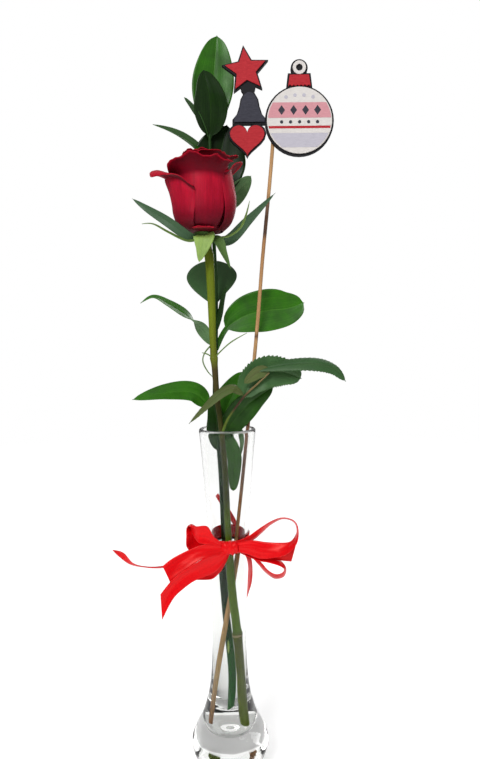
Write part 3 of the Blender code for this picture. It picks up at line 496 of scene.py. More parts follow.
# Each petal: where it stands and how far it reaches round, its radius from claw to shoulder, and
# across it the shoulder's height, the lip's length, and the turns that the lip makes outwards.
# slant is how much further out its far side stands. The rings' petals stand evenly round.
petals = {
    "front": dict(at=250, half=64, radii=[12.2, 17.4, 19.7, 20, 19.5, 19],
        shoulder=[31, 32, 33, 33, 32], length=[3, 11.5, 15.5, 14.5, 13], bend=[60, 58, 55, 55, 52],
        curl=[10, 8, 0, 10, 20]),
    "left": dict(at=196, half=61, radii=[12.8, 18, 20.3, 20.9, 22.2, 24.4],
        shoulder=[33, 34, 34, 33, 31, 27.5, 22], length=[9, 12, 15.5, 13.5, 9, 5, 3],
        bend=[50, 56, 58, 72, 70, 55, 40], curl=[0, 20, 60, 95, 50, 0, 0], slant=-4.0),
    "right": dict(at=14, half=63, radii=[12.2, 17.8, 20.6, 21, 19.6, 18.2],
        shoulder=[33, 35, 39, 40, 37, 34, 33], length=[2, 3, 8.5, 10.5, 9, 8, 8],
        bend=[10, 25, 52, 60, 60, 60, 50], curl=[0, 0, 0, 0, 10, 10, 0]),
    "back": dict(at=104, half=58, radii=[11.6, 16.6, 18.8, 19, 18.6, 18.2],
        shoulder=[34, 36, 38, 37, 35], length=[7, 8, 8.5, 8, 7], bend=[15, 20, 20, 20, 15], curl=0),
    "stub": dict(at=271, half=27, radii=[10.6, 13.2, 14.4, 15, 15.4, 15.6],
        shoulder=[0.0, 0.5, 0.2, 0.6, 0.1], length=[0.3, 0.5, 0.35, 0.5, 0.3], bend=60, curl=20),
    "secondRight": dict(at=24, half=62, radii=[8.6, 14.8, 17, 17.4, 16.8, 16.2],
        shoulder=[41, 44, 44.5, 43, 41], length=[4, 7.5, 9.5, 6, 5], bend=[30, 46, 50, 40, 40],
        curl=[0, 20, 20, 0, 0], slant=0.9),
    "secondLeft": dict(at=150, half=60, radii=[8.6, 14.6, 16.6, 17, 16.8, 16.2],
        shoulder=[39, 41, 42, 41, 38], length=[6, 8, 8, 7, 6], bend=[30, 35, 35, 35, 30],
        curl=[0, 20, 30, 20, 0], slant=0.9),
    "secondFront": dict(at=272, half=62, radii=[8.6, 14.4, 16.4, 16.8, 16.4, 15.8],
        shoulder=[36, 39, 42.5, 43.5, 41.5], length=6, bend=[20, 25, 30, 30, 25],
        curl=[0, 20, 30, 20, 0], slant=0.9),
}
rings = {
    "third": dict(count=3, start=340, half=68, radii=[7.4, 11.8, 13.4, 13.8, 13.2, 12.6],
        shoulder=[42, 44, 45, 44, 42], length=5.5, bend=16, curl=25, slant=1.0),
    "heart": dict(count=3, start=20, half=74, radii=[5, 7.8, 9.6, 10, 9.2, 8.4],
        shoulder=[43, 45, 46, 45, 43], length=5.5, bend=4, curl=25, slant=0.9),
    "bud": dict(count=2, start=80, half=88, radii=[3, 4.6, 5.8, 6.2, 5.4, 4.6],
        shoulder=[42, 44, 45, 44, 42], length=5.0, bend=-22, curl=10, slant=0.9),
}


def petalRule(seed, at, half, radii, shoulder, length, bend, curl, slant=0.0):
    middle = radians(at)
    reach = radians(half)
    steps = bloom["lipSteps"]
    wrap = bloom["wrap"]
    lip = [value if isinstance(value, list) else [value] * 2 for value in (length, bend, curl)]

    def place(u, v):
        across = (v + 1) / 2
        far, bent, curled = (spline(values, across) for values in lip)
        rise = min(u / bloom["bodyShare"], 1.0)
        past = max(u - bloom["bodyShare"], 0.0) / (1 - bloom["bodyShare"])
        out = spline(radii, rise) + slant * v * rise ** 3
        height = bloom["lift"] + spline(shoulder, across) * rise ** 1.25
        wave = bloom["scallop"] * (ripple(seed, v * 3.6, 0.3) + 0.5 * ripple(seed, v * 9, 4.1))
        stride = far * (1 + wave) * past / steps
        for i in range(steps):
            q = past * (i + 0.5) / steps
            turn = radians(bent * (1 - (1 - q) ** 3) + curled * q * q + bloom["lipTurn"] * q ** 8)
            out += stride * sin(turn)
            height += stride * cos(turn)
        out += bloom["waves"] * past * ripple(seed + 5, v * 2.6, u)
        out += bloom["wander"] * ripple(seed + 9, v * 2, u * 3)
        out += bloom["crinkle"] * rise * ripple(seed + 2, v * 11, u)
        angle = middle + reach * v * (wrap + (1 - wrap) * sin(pi / 2 * min(rise * 1.3, 1)))
        return bloom["axis"] + Vector((out * cos(angle), out * sin(angle), height))

    return place


def makePetal(name, seed, petal):
    piece = blade("petal_" + name, petalRule(seed, **petal), bloom["rows"], bloom["columns"],
                  bloom["thick"], [petalOuter, petalInner])
    stands(piece, "rose_petals", "crimson_petal")


def makeBloom():
    core = turned("bloomCore", bloom["core"], 32, petalOuter)
    core.location = bloom["axis"] * mm
    stands(core, "rose_petals", "crimson_petal")
    for seed, (name, petal) in enumerate(petals.items()):
        makePetal(name, seed, petal)
    for name, ring in rings.items():
        for i in range(ring["count"]):
            at = ring["start"] - i * 360 / ring["count"]
            makePetal(f"{name}{i + 1}", ring["start"] + i,
                      dict(without(ring, "count", "start"), at=at))


print("bloom")
makeBloom()

# Leaves.

ruscus = dict(
    stem=[(0.4, 4.6, 40.4, 1.7), (1, 4.6, 68, 1.7), (-1.7, 5.2, 117, 1.6), (-3.6, 6.2, 162, 1.6),
        (-5.2, 7.6, 205, 1.5), (-7.4, 9, 239, 1.5), (-8.6, 9.4, 262, 1.5), (-7.4, 9.5, 300, 1.4),
        (-7, 11, 335, 1.3), (-8.2, 15.4, 368, 1.3), (-9.4, 17.2, 395, 1.2), (-10.2, 18.2, 422, 1.1),
        (-10.6, 18, 446, 1)],
    thick=0.35, footSlope=1.2)

# Each leaf's tone is partly its own colour and partly painted shade; behindBloom and belowBloom are
# darkened as leaves in shadow.
ruscusLeaves = {
    "top": dict(root=443, path=[(-8.8, 18.5, 468), (-6.8, 19, 490), (-4.8, 20, 512)], width=29,
        face=(0.1, -1, 0.1), cup=0.12, belly=0.46, tone=0.9),
    "topFront": dict(root=441, path=[(-9.6, 14, 455), (-10.2, 10.5, 468), (-14, 8, 483.6)],
        width=23.5, face=(0.2, -1, -0.2), cup=0.15, tone=0.06),
    "behindBloom": dict(root=390, path=[(-7.4, 21.5, 409), (-3.6, 23.5, 431), (1.6, 22, 452)],
        width=38, face=(0.1, -1, 0.1), cup=0.1, belly=0.58, full=0.7, tone=0.0),
    "rightOfBloom": dict(root=392, path=[(0, 22, 399), (9, 24, 406.4), (18.4, 24, 417)], width=16,
        face=(0.2, -1, -0.3), cup=0.15, tone=1.0, under=True),
    "highLeftThin": dict(root=440, path=[(-17, 17, 453), (-22.5, 15, 461), (-27.6, 13, 467.3)],
        width=12, face=(0.75, 0.1, 0.85), tone=0.4),
    "leftOfBloom": dict(root=425, path=[(-22, 18.5, 437), (-35, 17, 445), (-49.8, 15, 450)],
        width=16, face=(0.3, -0.55, 0.9), cup=0.15, full=0.85, tone=0.45),
    "belowBloom": dict(root=318, path=[(-9.6, 17, 333), (-10.6, 27, 347), (-11.2, 38, 360)],
        width=36, face=(0.0, -0.75, 0.6), cup=0.12, belly=0.56, full=0.74, stalk=0.17, tone=0.15,
        under=True),
    "leftTwisted": dict(root=293, path=[(-16.5, 9, 307), (-26.5, 7.5, 317), (-40, 6, 326),
        (-50, 4, 330.5), (-58.5, 2, 326)], width=13, face=(0.25, 0.85, 0.35),
        turned=(0.05, -0.5, 1.0), turn=(0.06, 0.5), belly=0.32, full=0.9, tone=0.9),
    "rightBig": dict(root=294, path=[(0, 10.6, 308.5), (13.5, 12.6, 317.5), (29, 14, 321),
        (43, 15, 322.5), (55, 15.5, 326.4)], width=30, face=(-0.05, -1, 0.15), cup=0.12, belly=0.48,
        full=0.45, stalk=0.21, tone=0.95),
    "midBright": dict(root=236, path=[(-1.5, 12, 250), (4.5, 13.5, 263), (12, 14, 278.5)], width=23,
        face=(0.1, -1, 0.2), cup=0.12, tone=1.0),
    "lowRight": dict(root=228, path=[(0.6, 4.4, 239), (8.8, -1.4, 250.4), (18.8, -4, 260),
        (32, -5, 268.6)], width=18, face=(0.25, -1, 0.2), belly=0.5, tone=0.4),
    "lowLeft": dict(root=250, path=[(-14, 7, 256), (-24, 3.8, 264.6), (-43, -2, 265),
        (-63.6, -8, 260.8)], width=16, face=(0.05, -0.8, 0.6), cup=0.15, belly=0.4, full=0.7,
        stalk=0.22, tone=0.9),
    "rimLeft": dict(root=222, path=[(-7.6, 7.4, 234), (-8, 7.2, 246), (-11.4, 8, 261)], width=14,
        face=(0.1, -1, 0.0), tone=0.15),
    "inside": dict(root=230, path=[(-0.5, 6.6, 231), (4.4, 4.6, 221), (4.6, 4.2, 208),
        (3.6, 3.6, 195)], width=10.5, face=(0.1, -1, 0.1), full=0.36, tone=0.75),
    "insidePale": dict(root=234, path=[(1, 10.6, 238), (8, 10, 237), (10.4, 8.4, 229),
        (8.4, 8, 217)], width=4.5, face=(0.2, -1, 0.1), tone=0.6, under=True),
    "smallBract": dict(root=305, path=[(-4.6, 9, 317), (-2.6, 8, 328), (0.6, 6.5, 338)], width=4,
        face=(0.6, -1, 0.0), tone=0.2),
}


def leafWidth(u, stalk, belly, full, point=0.965):
    # Share of the half width along a leaf: a narrow stalk, a full body and a short abrupt point.
    t = max(u - stalk, 0.0) / (1 - stalk)
    skew = log(0.5) / log(belly)
    body = max(sin(pi * min(t / point, 1.0) ** skew), 0.0) ** full
    narrow = 0.25 * t * (1 - t) ** 0.6 + 0.12 * (1 - t) ** 8
    return max(body, narrow)


def leafRule(path, width, face, turned=None, turn=(0.0, 1.0), cup=0.1, belly=0.44, stalk=0.07,
             full=0.6, teeth=0, edge=0.11, crease=0.35, seed=0):
    start = Vector(face).normalized()
    end = Vector(turned or face).normalized()

    def place(u, v):
        here, ahead = pathFrame(path, u)
        up = start.lerp(end, ease((u - turn[0]) / (turn[1] - turn[0]))).normalized()
        side = ahead.cross(up).normalized()
        up = side.cross(ahead)
        half = width / 2 * leafWidth(u, stalk, belly, full)
        if teeth:
            half *= 1 - edge * (1 - (u * teeth) % 1.0) * abs(v) ** 8
        swell = cup * half * v * v - crease * exp(-(v * 9) ** 2) * min(half / 6, 1)
        swell += 0.035 * half * ripple(seed, u * 5, v * 1.5) * abs(v)
        return here + side * half * v + up * swell

    return place


def makeLeaf(name, leaf, rows, columns, thick, looks, node, slot, root=(), **rules):
    # rules are the values for leafRule that all leaves of a kind share.
    rules.update(without(leaf, "root", "path", "tone", "under", "grey"))
    rule = leafRule([*root, *vectors(leaf["path"])], **rules)
    faces = looks[::-1] if leaf.get("under") else looks
    stands(blade(name, rule, rows, columns, thick, faces, leaf["tone"]), node, slot)


def onPath(points, height):
    for low, high in zip(points, points[1:]):
        if low[2] <= height <= high[2]:
            share = (height - low[2]) / (high[2] - low[2])
            return Vector(low[:3]).lerp(Vector(high[:3]), share)
    return Vector(points[-1][:3])


def cutFoot(obj, path, slope, reach=7.0):
    # Cuts the foot of a stem at a slant: slope is the rise for each step to the right.
    for vert in obj.data.vertices:
        near = 1 - (vert.co.z / mm - path[0][2]) / reach
        vert.co.z += slope * (vert.co.x - path[0][0] * mm) * min(max(near, 0.0), 1.0)


def stemTube(name, points, rings, sides, material, swell=None):
    return tube(name, vectors(points), [p[3] for p in points], rings, sides, material, swell)


def makeRuscus():
    stem = stemTube("ruscusStem", ruscus["stem"], 180, 20, ruscusStemLook,
                    lambda t, a: 1 + 0.05 * cos(5 * a) + 0.06 * ripple(3, t * 30, a))
    cutFoot(stem, ruscus["stem"], ruscus["footSlope"])
    stands(stem, "ruscus_spray", "ruscus_green")
    for seed, (name, leaf) in enumerate(ruscusLeaves.items()):
        makeLeaf("ruscusLeaf_" + name, leaf, 44, 22, ruscus["thick"], [ruscusUpper, ruscusUnder],
                 "ruscus_spray", "ruscus_green", [onPath(ruscus["stem"], leaf["root"])], seed=seed)


print("ruscus")
makeRuscus()

# The rose's own stem, sepals and leaf.

rose = dict(
    stem=[(8.2, -1.5, 30.4, 2.7), (7.1, -2, 46, 2.7), (6.2, -2.2, 70, 2.6), (4.9, -2.3, 91, 2.6),
        (4.5, -2.4, 97, 3), (4, -2.4, 103, 2.4), (1.5, -2.8, 133, 2.3), (-0.4, -3.2, 177, 2.2),
        (-1.4, -3.6, 207, 2), (-3.7, -3.9, 237, 1.8), (-6.5, -4, 261, 1.9), (-8, -4, 283, 2.2),
        (-8.4, -4, 288, 2.7), (-8.8, -4, 294, 2.2), (-9.6, -4.4, 325, 2.6), (-10.6, -5.4, 354, 3.1),
        (-12.3, -5.8, 361, 3.6), (-13.6, -6, 367, 5.6), (-13.6, -6, 371.2, 7)],
    thick=0.4, footSlope=-0.6,
    stalk=[(-3.6, -4.4, 236, 1), (0.1, -7, 246, 0.85), (6.3, -9.5, 255.5, 0.75),
        (13, -11.5, 264, 0.7), (20.5, -12.6, 271, 0.65), (28.4, -13.4, 278.5, 0.6)],
    stipule=(0.6, 0.42, 0.45, 0.2))

sepals = {
    "frontPale": dict(path=[(-13.6, -10.2, 370), (-13.6, -14.4, 367), (-14.6, -15.6, 360),
        (-17, -16, 350.8)], width=14, face=(-0.1, -1, 0.1), cup=0.12, belly=0.28, full=0.75,
        tone=1.0),
    "frontRight": dict(path=[(-8.2, -8.4, 368.6), (-4.2, -11.6, 365), (-1.2, -12.8, 358),
        (3.8, -13.4, 346.6)], width=7.5, face=(0.5, -1, 0.3), cup=0.25, belly=0.35, tone=0.2),
    "leftBroad": dict(path=[(-17.2, -8.4, 367.4), (-25, -13.4, 369), (-38, -13.2, 378.2),
        (-52, -9, 387.6), (-61.5, -6, 394.6)], width=6.6, face=(0.3, -1, -0.4), cup=0.2, belly=0.42,
        tone=0.3, grey=True),
    "leftThin": dict(path=[(-17.6, -9, 367.6), (-24.4, -15, 364.8), (-36, -16.6, 370),
        (-46, -17.2, 375.4), (-53.4, -17.5, 375.6)], width=3.8, face=(0.2, -0.5, 1), belly=0.3,
        tone=0.45),
    "rightBroad": dict(path=[(-9, -4.4, 366.6), (3, -3, 367.8), (16, -3.8, 380.4),
        (33.8, -5, 397.7)], width=7.4, face=(-0.3, -1, -0.5), cup=0.2, belly=0.42, tone=0.3,
        grey=True),
    "rightThin": dict(path=[(-8.8, -7.6, 368), (2.5, -10, 368.4), (10.4, -12, 373.6),
        (14, -12.6, 381.5), (16.4, -13.5, 390.6)], width=3.8, face=(-0.4, -0.5, 1), belly=0.3,
        tone=0.5),
}

leaflets = {
    "broad": dict(path=[(11.4, -10.9, 262), (16.6, -9.6, 271.6), (26, -8.6, 278.2),
        (39, -8.4, 278.4), (50.4, -9, 274)], width=23, face=(-0.1, -1, 0.05), cup=0.12, belly=0.5,
        full=0.42, tone=0.8),
    "end": dict(path=[(17.5, -13.4, 279.8), (30, -14.4, 282.4), (45, -15.6, 284.6), (60, -17, 284.6),
        (71, -17, 280.8), (78.5, -17, 272.3)], width=12.5, face=(0.0, -0.72, 0.72), cup=-0.25,
        belly=0.56, full=0.6, tone=0.55),
    "pale": dict(path=[(28.4, -13.5, 279.6), (21, -14.5, 278.6), (11.6, -15, 271.6)], width=9,
        face=(0.1, -1, -0.2), tone=0.6, under=True),
    "left": dict(path=[(11.4, -11.1, 263.4), (4.6, -13, 268.6), (-3.5, -14.4, 265.8),
        (-12.6, -16, 257.9), (-24.8, -17, 245.4)], width=10, face=(-0.3, -0.62, 0.8), cup=-0.2,
        full=0.7, tone=0.55, under=True),
}

stipules = {
    "right": [(-8.4, -4.2, 288), (-2.5, -6, 294), (4.2, -7, 299.5), (14.1, -7.5, 305)],
    "loop": [(-9.2, -3.8, 298), (-14.4, -4.6, 292), (-15.8, -5, 286), (-12.5, -4.6, 279),
        (-7.6, -4.2, 274)],
    "left": [(-8.6, -4.4, 288), (-12.4, -5.6, 290.8), (-16.3, -6, 292)],
}


def makeRoseStem():
    home = ("rose_stem", "rose_green")
    stem = stemTube("roseStem", rose["stem"], 260, 32, roseStemLook,
                    lambda t, a: 1 + 0.05 * ripple(1, t * 40, cos(a), sin(a)))
    cutFoot(stem, rose["stem"], rose["footSlope"])
    stands(stem, *home)
    for seed, (name, sepal) in enumerate(sepals.items()):
        green = sepalGrey if sepal.get("grey") else sepalLook
        makeLeaf("sepal_" + name, sepal, 48, 14, rose["thick"], [green, green], *home,
                 full=0.8, stalk=0.0, crease=0.2, seed=seed)
    stands(stemTube("leafStalk", rose["stalk"], 60, 14, stalkLook), *home)
    for seed, (name, leaf) in enumerate(leaflets.items()):
        makeLeaf("leaflet_" + name, leaf, 144, 22, rose["thick"], [roseLeafUpper, roseLeafUnder],
                 *home, stalk=0.03, teeth=26, crease=0.5, seed=seed + 20)
    for name, path in stipules.items():
        stands(tube("stipule_" + name, vectors(path), rose["stipule"], 40, 8, sepalLook, tone=0.4),
               *home)


print("rose stem")
makeRoseStem()

# Ribbon.

band = dict(width=12.5, z=162.2, height=10.2, tilt=1.2, gap=0.12, thick=0.3, fold=0.12, radius=14.6)
# The knot's cut length is in metres.
knot = dict(at=Vector((1.4, -17.2, 162.0)), halfLength=5.4, deep=2.9, tall=4.5, cutLength=0.026)

# Each length of ribbon by its top and low edge, from the knot outwards.
ribbonParts = {
    "leftLoop": ([(-2, -17.4, 164.4), (-9, -20, 170.6), (-13.2, -21, 178), (-20.2, -20.8, 178),
        (-26.9, -18.6, 177), (-28, -16.6, 170), (-27.4, -15.6, 161.6), (-20, -15.4, 156.4),
        (-5, -15.8, 159.6)],
        [(-2, -17.4, 161.6), (-9.5, -20, 165.2), (-14.5, -20.6, 166), (-20, -19.4, 167.6),
        (-26.2, -8.4, 175.4), (-17.4, -9.8, 170.5), (-16.6, -9.8, 163), (-13, -11, 161),
        (-4, -15.4, 161.2)]),
    "leftTail": ([(-1.5, -17.8, 162.2), (-8, -19.4, 164.8), (-15.5, -20.6, 165.6), (-24, -21.4, 163),
        (-32.4, -22.6, 159.4), (-38.4, -24, 156.2), (-42.6, -25.4, 153)],
        [(-1.5, -17.8, 160.4), (-6, -20, 158.6), (-11, -22, 158), (-17.5, -23.4, 156.4),
        (-25, -25, 152), (-32, -26.2, 147), (-37.6, -27, 143)]),
    "longTail": ([(-1.5, -18.4, 161.2), (-5.6, -21, 159.2), (-11, -23.8, 159.4),
        (-17.5, -26.6, 157.6), (-24.5, -29.2, 154), (-31.5, -31.6, 150), (-37, -33.4, 145.6),
        (-43, -35, 138.5)],
        [(0.4, -18.2, 159.4), (-2.5, -19.6, 154), (-8, -22, 148.4), (-15, -25.4, 146),
        (-21, -28.4, 144.8), (-28, -31.2, 141), (-35, -33.8, 135), (-42, -36.2, 122.4)]),
    "underLoop": ([(-0.5, -16.8, 160.4), (-6.5, -18, 154), (-12.5, -19, 149.6), (-20, -20.6, 146.4),
        (-25, -22.6, 146.4)],
        [(1.6, -16.8, 158.8), (-1.6, -16.8, 151.6), (-5.6, -17, 145.6), (-11.4, -18, 141.4),
        (-21, -21, 142)]),
    "curlTail": ([(-3, -16.6, 161.6), (-16, -17.6, 159.4), (-29, -18.6, 155), (-43.5, -19.6, 151.2),
        (-53, -21.4, 151.2), (-62, -22.4, 154), (-68.4, -23.6, 161.6), (-75, -26, 164.4)],
        [(-4, -16, 161), (-16, -15.5, 156), (-29.5, -14.5, 151), (-44.5, -12, 147.5),
        (-55, -14, 148.5), (-64.5, -18.5, 152), (-71.5, -22.5, 159), (-74.5, -26, 163.6)]),
    "rightLoop": ([(4.6, -17.4, 165), (15, -21, 168.2), (25, -23.6, 167.8), (34, -25.4, 168),
        (40.6, -25, 168.8), (44, -23, 172.4), (45, -21.4, 176.4), (43, -19.6, 180), (36.8, -17, 181),
        (29.2, -16, 176.4), (22.5, -16, 170.6), (16, -16, 166), (5, -16.2, 163.4)],
        [(4.6, -17.4, 159.8), (13, -21, 158.8), (21, -24.4, 157), (29.5, -27.4, 158.6),
        (37.4, -31.4, 162.6), (43.6, -34, 170.4), (44.8, -33, 178.8), (42.4, -31, 183.6),
        (35.8, -28.2, 184.6), (28.6, -25.6, 181.6), (20.5, -22, 175.8), (13, -18.4, 169.6),
        (4.4, -17.2, 165.2)]),
    "rightEnd": ([(5.2, -16.6, 162.4), (17, -17.6, 163.4), (31, -19.4, 163.6), (45.2, -20.6, 165)],
        [(5.2, -16.6, 160.8), (16, -17.6, 156.2), (29, -19, 154.4), (42, -21, 153.6)]),
    "smallLoop": ([(5, -16.6, 160.8), (15.5, -17.4, 156.6), (21.5, -17.8, 152.2),
        (26.4, -18.4, 146.6), (31.6, -19.6, 144.2), (36, -21, 145.8), (37.4, -23.4, 149.6),
        (34.4, -24.6, 152.6), (27, -23.6, 154.6), (19, -21, 155.4), (6, -17.6, 160)],
        [(5, -14.8, 159.6), (14.8, -13.2, 154.4), (20, -11, 148), (24.8, -9.6, 141.6),
        (31.2, -11, 137.6), (37.6, -13.4, 140), (39.4, -16, 146.8), (36.2, -15, 152.4),
        (28.6, -14.2, 154.6), (21, -14, 155.4), (6, -15.4, 160.6)]),
    "hangingTail": ([(6.6, -16.4, 160.4), (11.4, -16.4, 156.4), (12.9, -16.2, 150),
        (12.9, -15.8, 143), (12.6, -15.2, 136), (12.2, -14.6, 126.6)],
        [(7.4, -14.2, 160.2), (13.4, -9.6, 155.4), (15.9, -9.2, 149), (16.2, -9, 142),
        (14.9, -9.6, 134), (12.5, -13.8, 127)]),
    "backStrand": ([(11.2, 10.2, 166), (8.6, 13.6, 168), (4.6, 16.8, 174), (-1.4, 17.8, 182),
        (-8.8, 17.8, 190.6)],
        [(10.8, 9.8, 162.4), (7.8, 13.4, 163.6), (2.6, 15.8, 170), (-3.8, 16.6, 179),
        (-11.2, 17.2, 188.6)]),
}


def midline(top, low):
    return [(a + b) / 2 for a, b in zip(top, low)]


def ribbonRule(top, low, seed):
    middle = midline(top, low)

    def place(u, v):
        high = spline(top, u)
        foot = spline(low, u)
        up = (high - foot).cross(pathFrame(middle, u)[1]).normalized()
        wave = 0.4 * ripple(seed, u * 4, v * 1.2) + 0.06 * (high - foot).length * v * v
        wave += 0.25 * exp(-u * 9) * sin(v * 7 + seed)
        return foot.lerp(high, (v + 1) / 2) + up * wave

    return place


def outsideRadius(height):
    return onPath([(r, 0, z) for r, z in reversed(vase["outside"])], height).x


def satin(name, rule, rows, columns, closed=False):
    piece = blade(name, rule, rows, columns, band["thick"], [redSatin])
    if closed:
        piece.modifiers.new("Seam", "WELD").merge_threshold = 0.00001
        piece.modifiers.move(1, 0)
    stands(piece, "ribbon", "red_satin")
    return piece


def bandRule(u, v):
    angle = 2 * pi * u
    back = sin(angle)
    height = band["z"] + band["tilt"] * back + band["height"] / 2 * (1 + 0.1 * back) * v
    fold = band["fold"] * (1 + sin(v * 8 + 0.6 * cos(angle * 2)))
    out = outsideRadius(height) + band["gap"] + band["thick"] / 2 + fold
    return Vector((out * cos(angle), out * sin(angle), height))


def knotRule(u, v):
    angle = 2 * pi * u
    folds = 0.1 * sin(v * 9 + 1.5 * sin(angle)) + 0.12 * ripple(8, v * 4, angle)
    out = (1 - 0.35 * abs(v) ** 3) * (1 + folds)
    return knot["at"] + Vector((knot["halfLength"] * v, knot["deep"] * out * cos(angle),
                                knot["tall"] * out * sin(angle)))


def makeRibbon():
    satin("ribbonBand", bandRule, 96, 12, True)
    satin("ribbonKnot", knotRule, 64, 40, True)
    for seed, (name, edges) in enumerate(ribbonParts.items()):
        top, low = (vectors(edge) for edge in edges)
        rows = 14 * (len(top) - 1)
        satin("ribbon_" + name, ribbonRule(top, low, seed), rows, 14)


print("ribbon")
makeRibbon()

# Skewer and pick.

skewer = dict(
    radius=1.25,
    path=[(-10.5, 1.4, 28.9), (-3.8, 1.5, 86), (3.2, 1.5, 142), (6.2, 1.6, 168), (10.6, 1.8, 206),
        (14.2, 2.2, 240), (20.8, 3.4, 305), (25.2, 4.4, 355), (29.2, 5.2, 394), (32.2, 5.7, 426),
        (34.8, 5.9, 462)])


def makeSkewer():
    path = vectors(skewer["path"])
    stick = tube("pickSkewer", path, [skewer["radius"]] * len(path), 160, 24, bamboo,
                 lambda t, a: 1 + 0.06 * ripple(2, t * 60, cos(a), sin(a)))
    stands(stick, "pick_skewer", "bamboo")


pick = dict(
    boardThick=3.0, faceThick=1.0, boardY=2.5, gap=0.3, bevel=0.25, reliefThick=0.3,
    reliefBevel=0.08, reliefStep=0.12, ringHole=2.2,
    bauble=dict(at=(50.4, 446.5), radius=21.8), cap=dict(at=(50.4, 472.4), width=15.0, height=7.5),
    ring=dict(at=(50.4, 480.9), radius=4.4, sides=48),
    star=dict(at=(14.8, 479.6), radius=14.2, waist=6.6),
    bell=dict(at=(17.0, 455.4), width=20.4, height=19.5),
    heart=dict(at=(15.4, 433.4), width=23.0, height=20.0))

# The paint on the bauble, from its middle: bands by their low and high edge, dots by their places.
baublePaint = dict(
    inset=0.7, band=(1.5, 11.5), shade=(-17.8, -8.5), line=(-5.4, -3.8), dotRadius=1.1,
    dots=[(-12, -1.2), (-6, -1.2), (0, -1.2), (6, -1.2), (12, -1.2)], flakeRadius=1.2,
    flakes=[(-9, 15), (-3, 16.2), (3, 16.2), (9, 15)], diamondHalf=(2.3, 3.2),
    diamonds=[(-12, 6.5), (-4, 6.5), (4, 6.5), (12, 6.5)])


def placed(at, points):
    return [(at[0] + x, at[1] + z) for x, z in points]


def circle(radius, sides=72):
    turn = 2 * pi / sides
    return [(radius * cos(i * turn), radius * sin(i * turn)) for i in range(sides)]


def star(radius, waist):
    reaches = [(waist if i % 2 else radius, radians(96 + 36 * i)) for i in range(10)]
    return [(reach * cos(angle), reach * sin(angle)) for reach, angle in reaches]


def bell(width, height):
    side = [(1, 0), (1, 0.14), (0.74, 0.3), (0.6, 0.52), (0.52, 0.74), (0.32, 0.92), (0.12, 1)]
    right = [(width / 2 * x, height * (z - 0.5)) for x, z in side]
    return right + [(-x, z) for x, z in reversed(right)]


def heart(width, height):
    points = []
    for i in range(72):
        t = -2 * pi * (i + 1) / 72
        z = (13 * cos(t) - 5 * cos(2 * t) - 2 * cos(3 * t) - cos(4 * t)) / 29
        points.append((sin(t) ** 3 * width / 2, (z + 0.09) * height))
    return points


def cap(width, height, scallop=1.1):
    foot = [(width * (i / 12 - 0.5), i % 2 * scallop - height / 2) for i in range(13)]
    return foot + [(width * 0.43, height / 2), (-width * 0.43, height / 2)]


def plate(name, outlines, middleY, thick, material, bevel):
    # A flat painted shape in the XZ plane, with its edges eased.
    curve = bpy.data.curves.new(name, "CURVE")
    curve.dimensions = "2D"
    curve.fill_mode = "BOTH"
    curve.extrude = (thick / 2 - bevel) * mm
    curve.bevel_depth = bevel * mm
    curve.bevel_resolution = 2
    curve.offset = -bevel * mm
    for outline in outlines:
        line = curve.splines.new("POLY")
        line.points.add(len(outline) - 1)
        line.use_cyclic_u = True
        for point, (x, z) in zip(line.points, outline):
            point.co = (x * mm, z * mm, 0, 1)
    flat = bpy.data.objects.new(name, curve)
    bpy.context.scene.collection.objects.link(flat)
    bpy.context.view_layer.update()
    solved = flat.evaluated_get(bpy.context.evaluated_depsgraph_get())
    mesh = bpy.data.meshes.new_from_object(solved)
    bpy.data.objects.remove(flat, do_unlink=True)
    mesh.transform(Matrix.Translation((0, middleY * mm, 0)) @ Matrix.Rotation(pi / 2, 4, "X"))
    bm = bmesh.new()
    bm.from_mesh(mesh)
    bmesh.ops.remove_doubles(bm, verts=bm.verts, dist=0.000001)
    bpy.data.meshes.remove(mesh)
    return meshObject(name, bm, [material], False)


def stripe(low, high, steps=24):
    # A band across the bauble between two heights over its middle, inside its rim.
    reach = pick["bauble"]["radius"] - baublePaint["inset"]
    side = [low + (high - low) * i / steps for i in range(steps + 1)]
    right = [(sqrt(reach * reach - z * z), z) for z in side]
    return right + [(-x, z) for x, z in reversed(right)]


def ornaments():
    paint = baublePaint
    wide, tall = paint["diamondHalf"]
    diamond = [(wide, 0), (0, tall), (-wide, 0), (0, -tall)]
    dot = circle(paint["dotRadius"], 24)
    flake = circle(paint["flakeRadius"], 24)
    return {
        "Band": ([stripe(*paint["band"])], pinkPaint, "white_paint"),
        "Shade": ([stripe(*paint["shade"])], lilacPaint, "white_paint"),
        "Line": ([stripe(*paint["line"])], redPaint, "red_paint"),
        "Dots": ([placed(at, dot) for at in paint["dots"]], charcoalPaint, "charcoal_paint"),
        "Snow": ([placed(at, flake) for at in paint["flakes"]], lilacPaint, "white_paint"),
        "Diamonds": ([placed(at, diamond) for at in paint["diamonds"]], charcoalPaint,
                     "charcoal_paint"),
    }


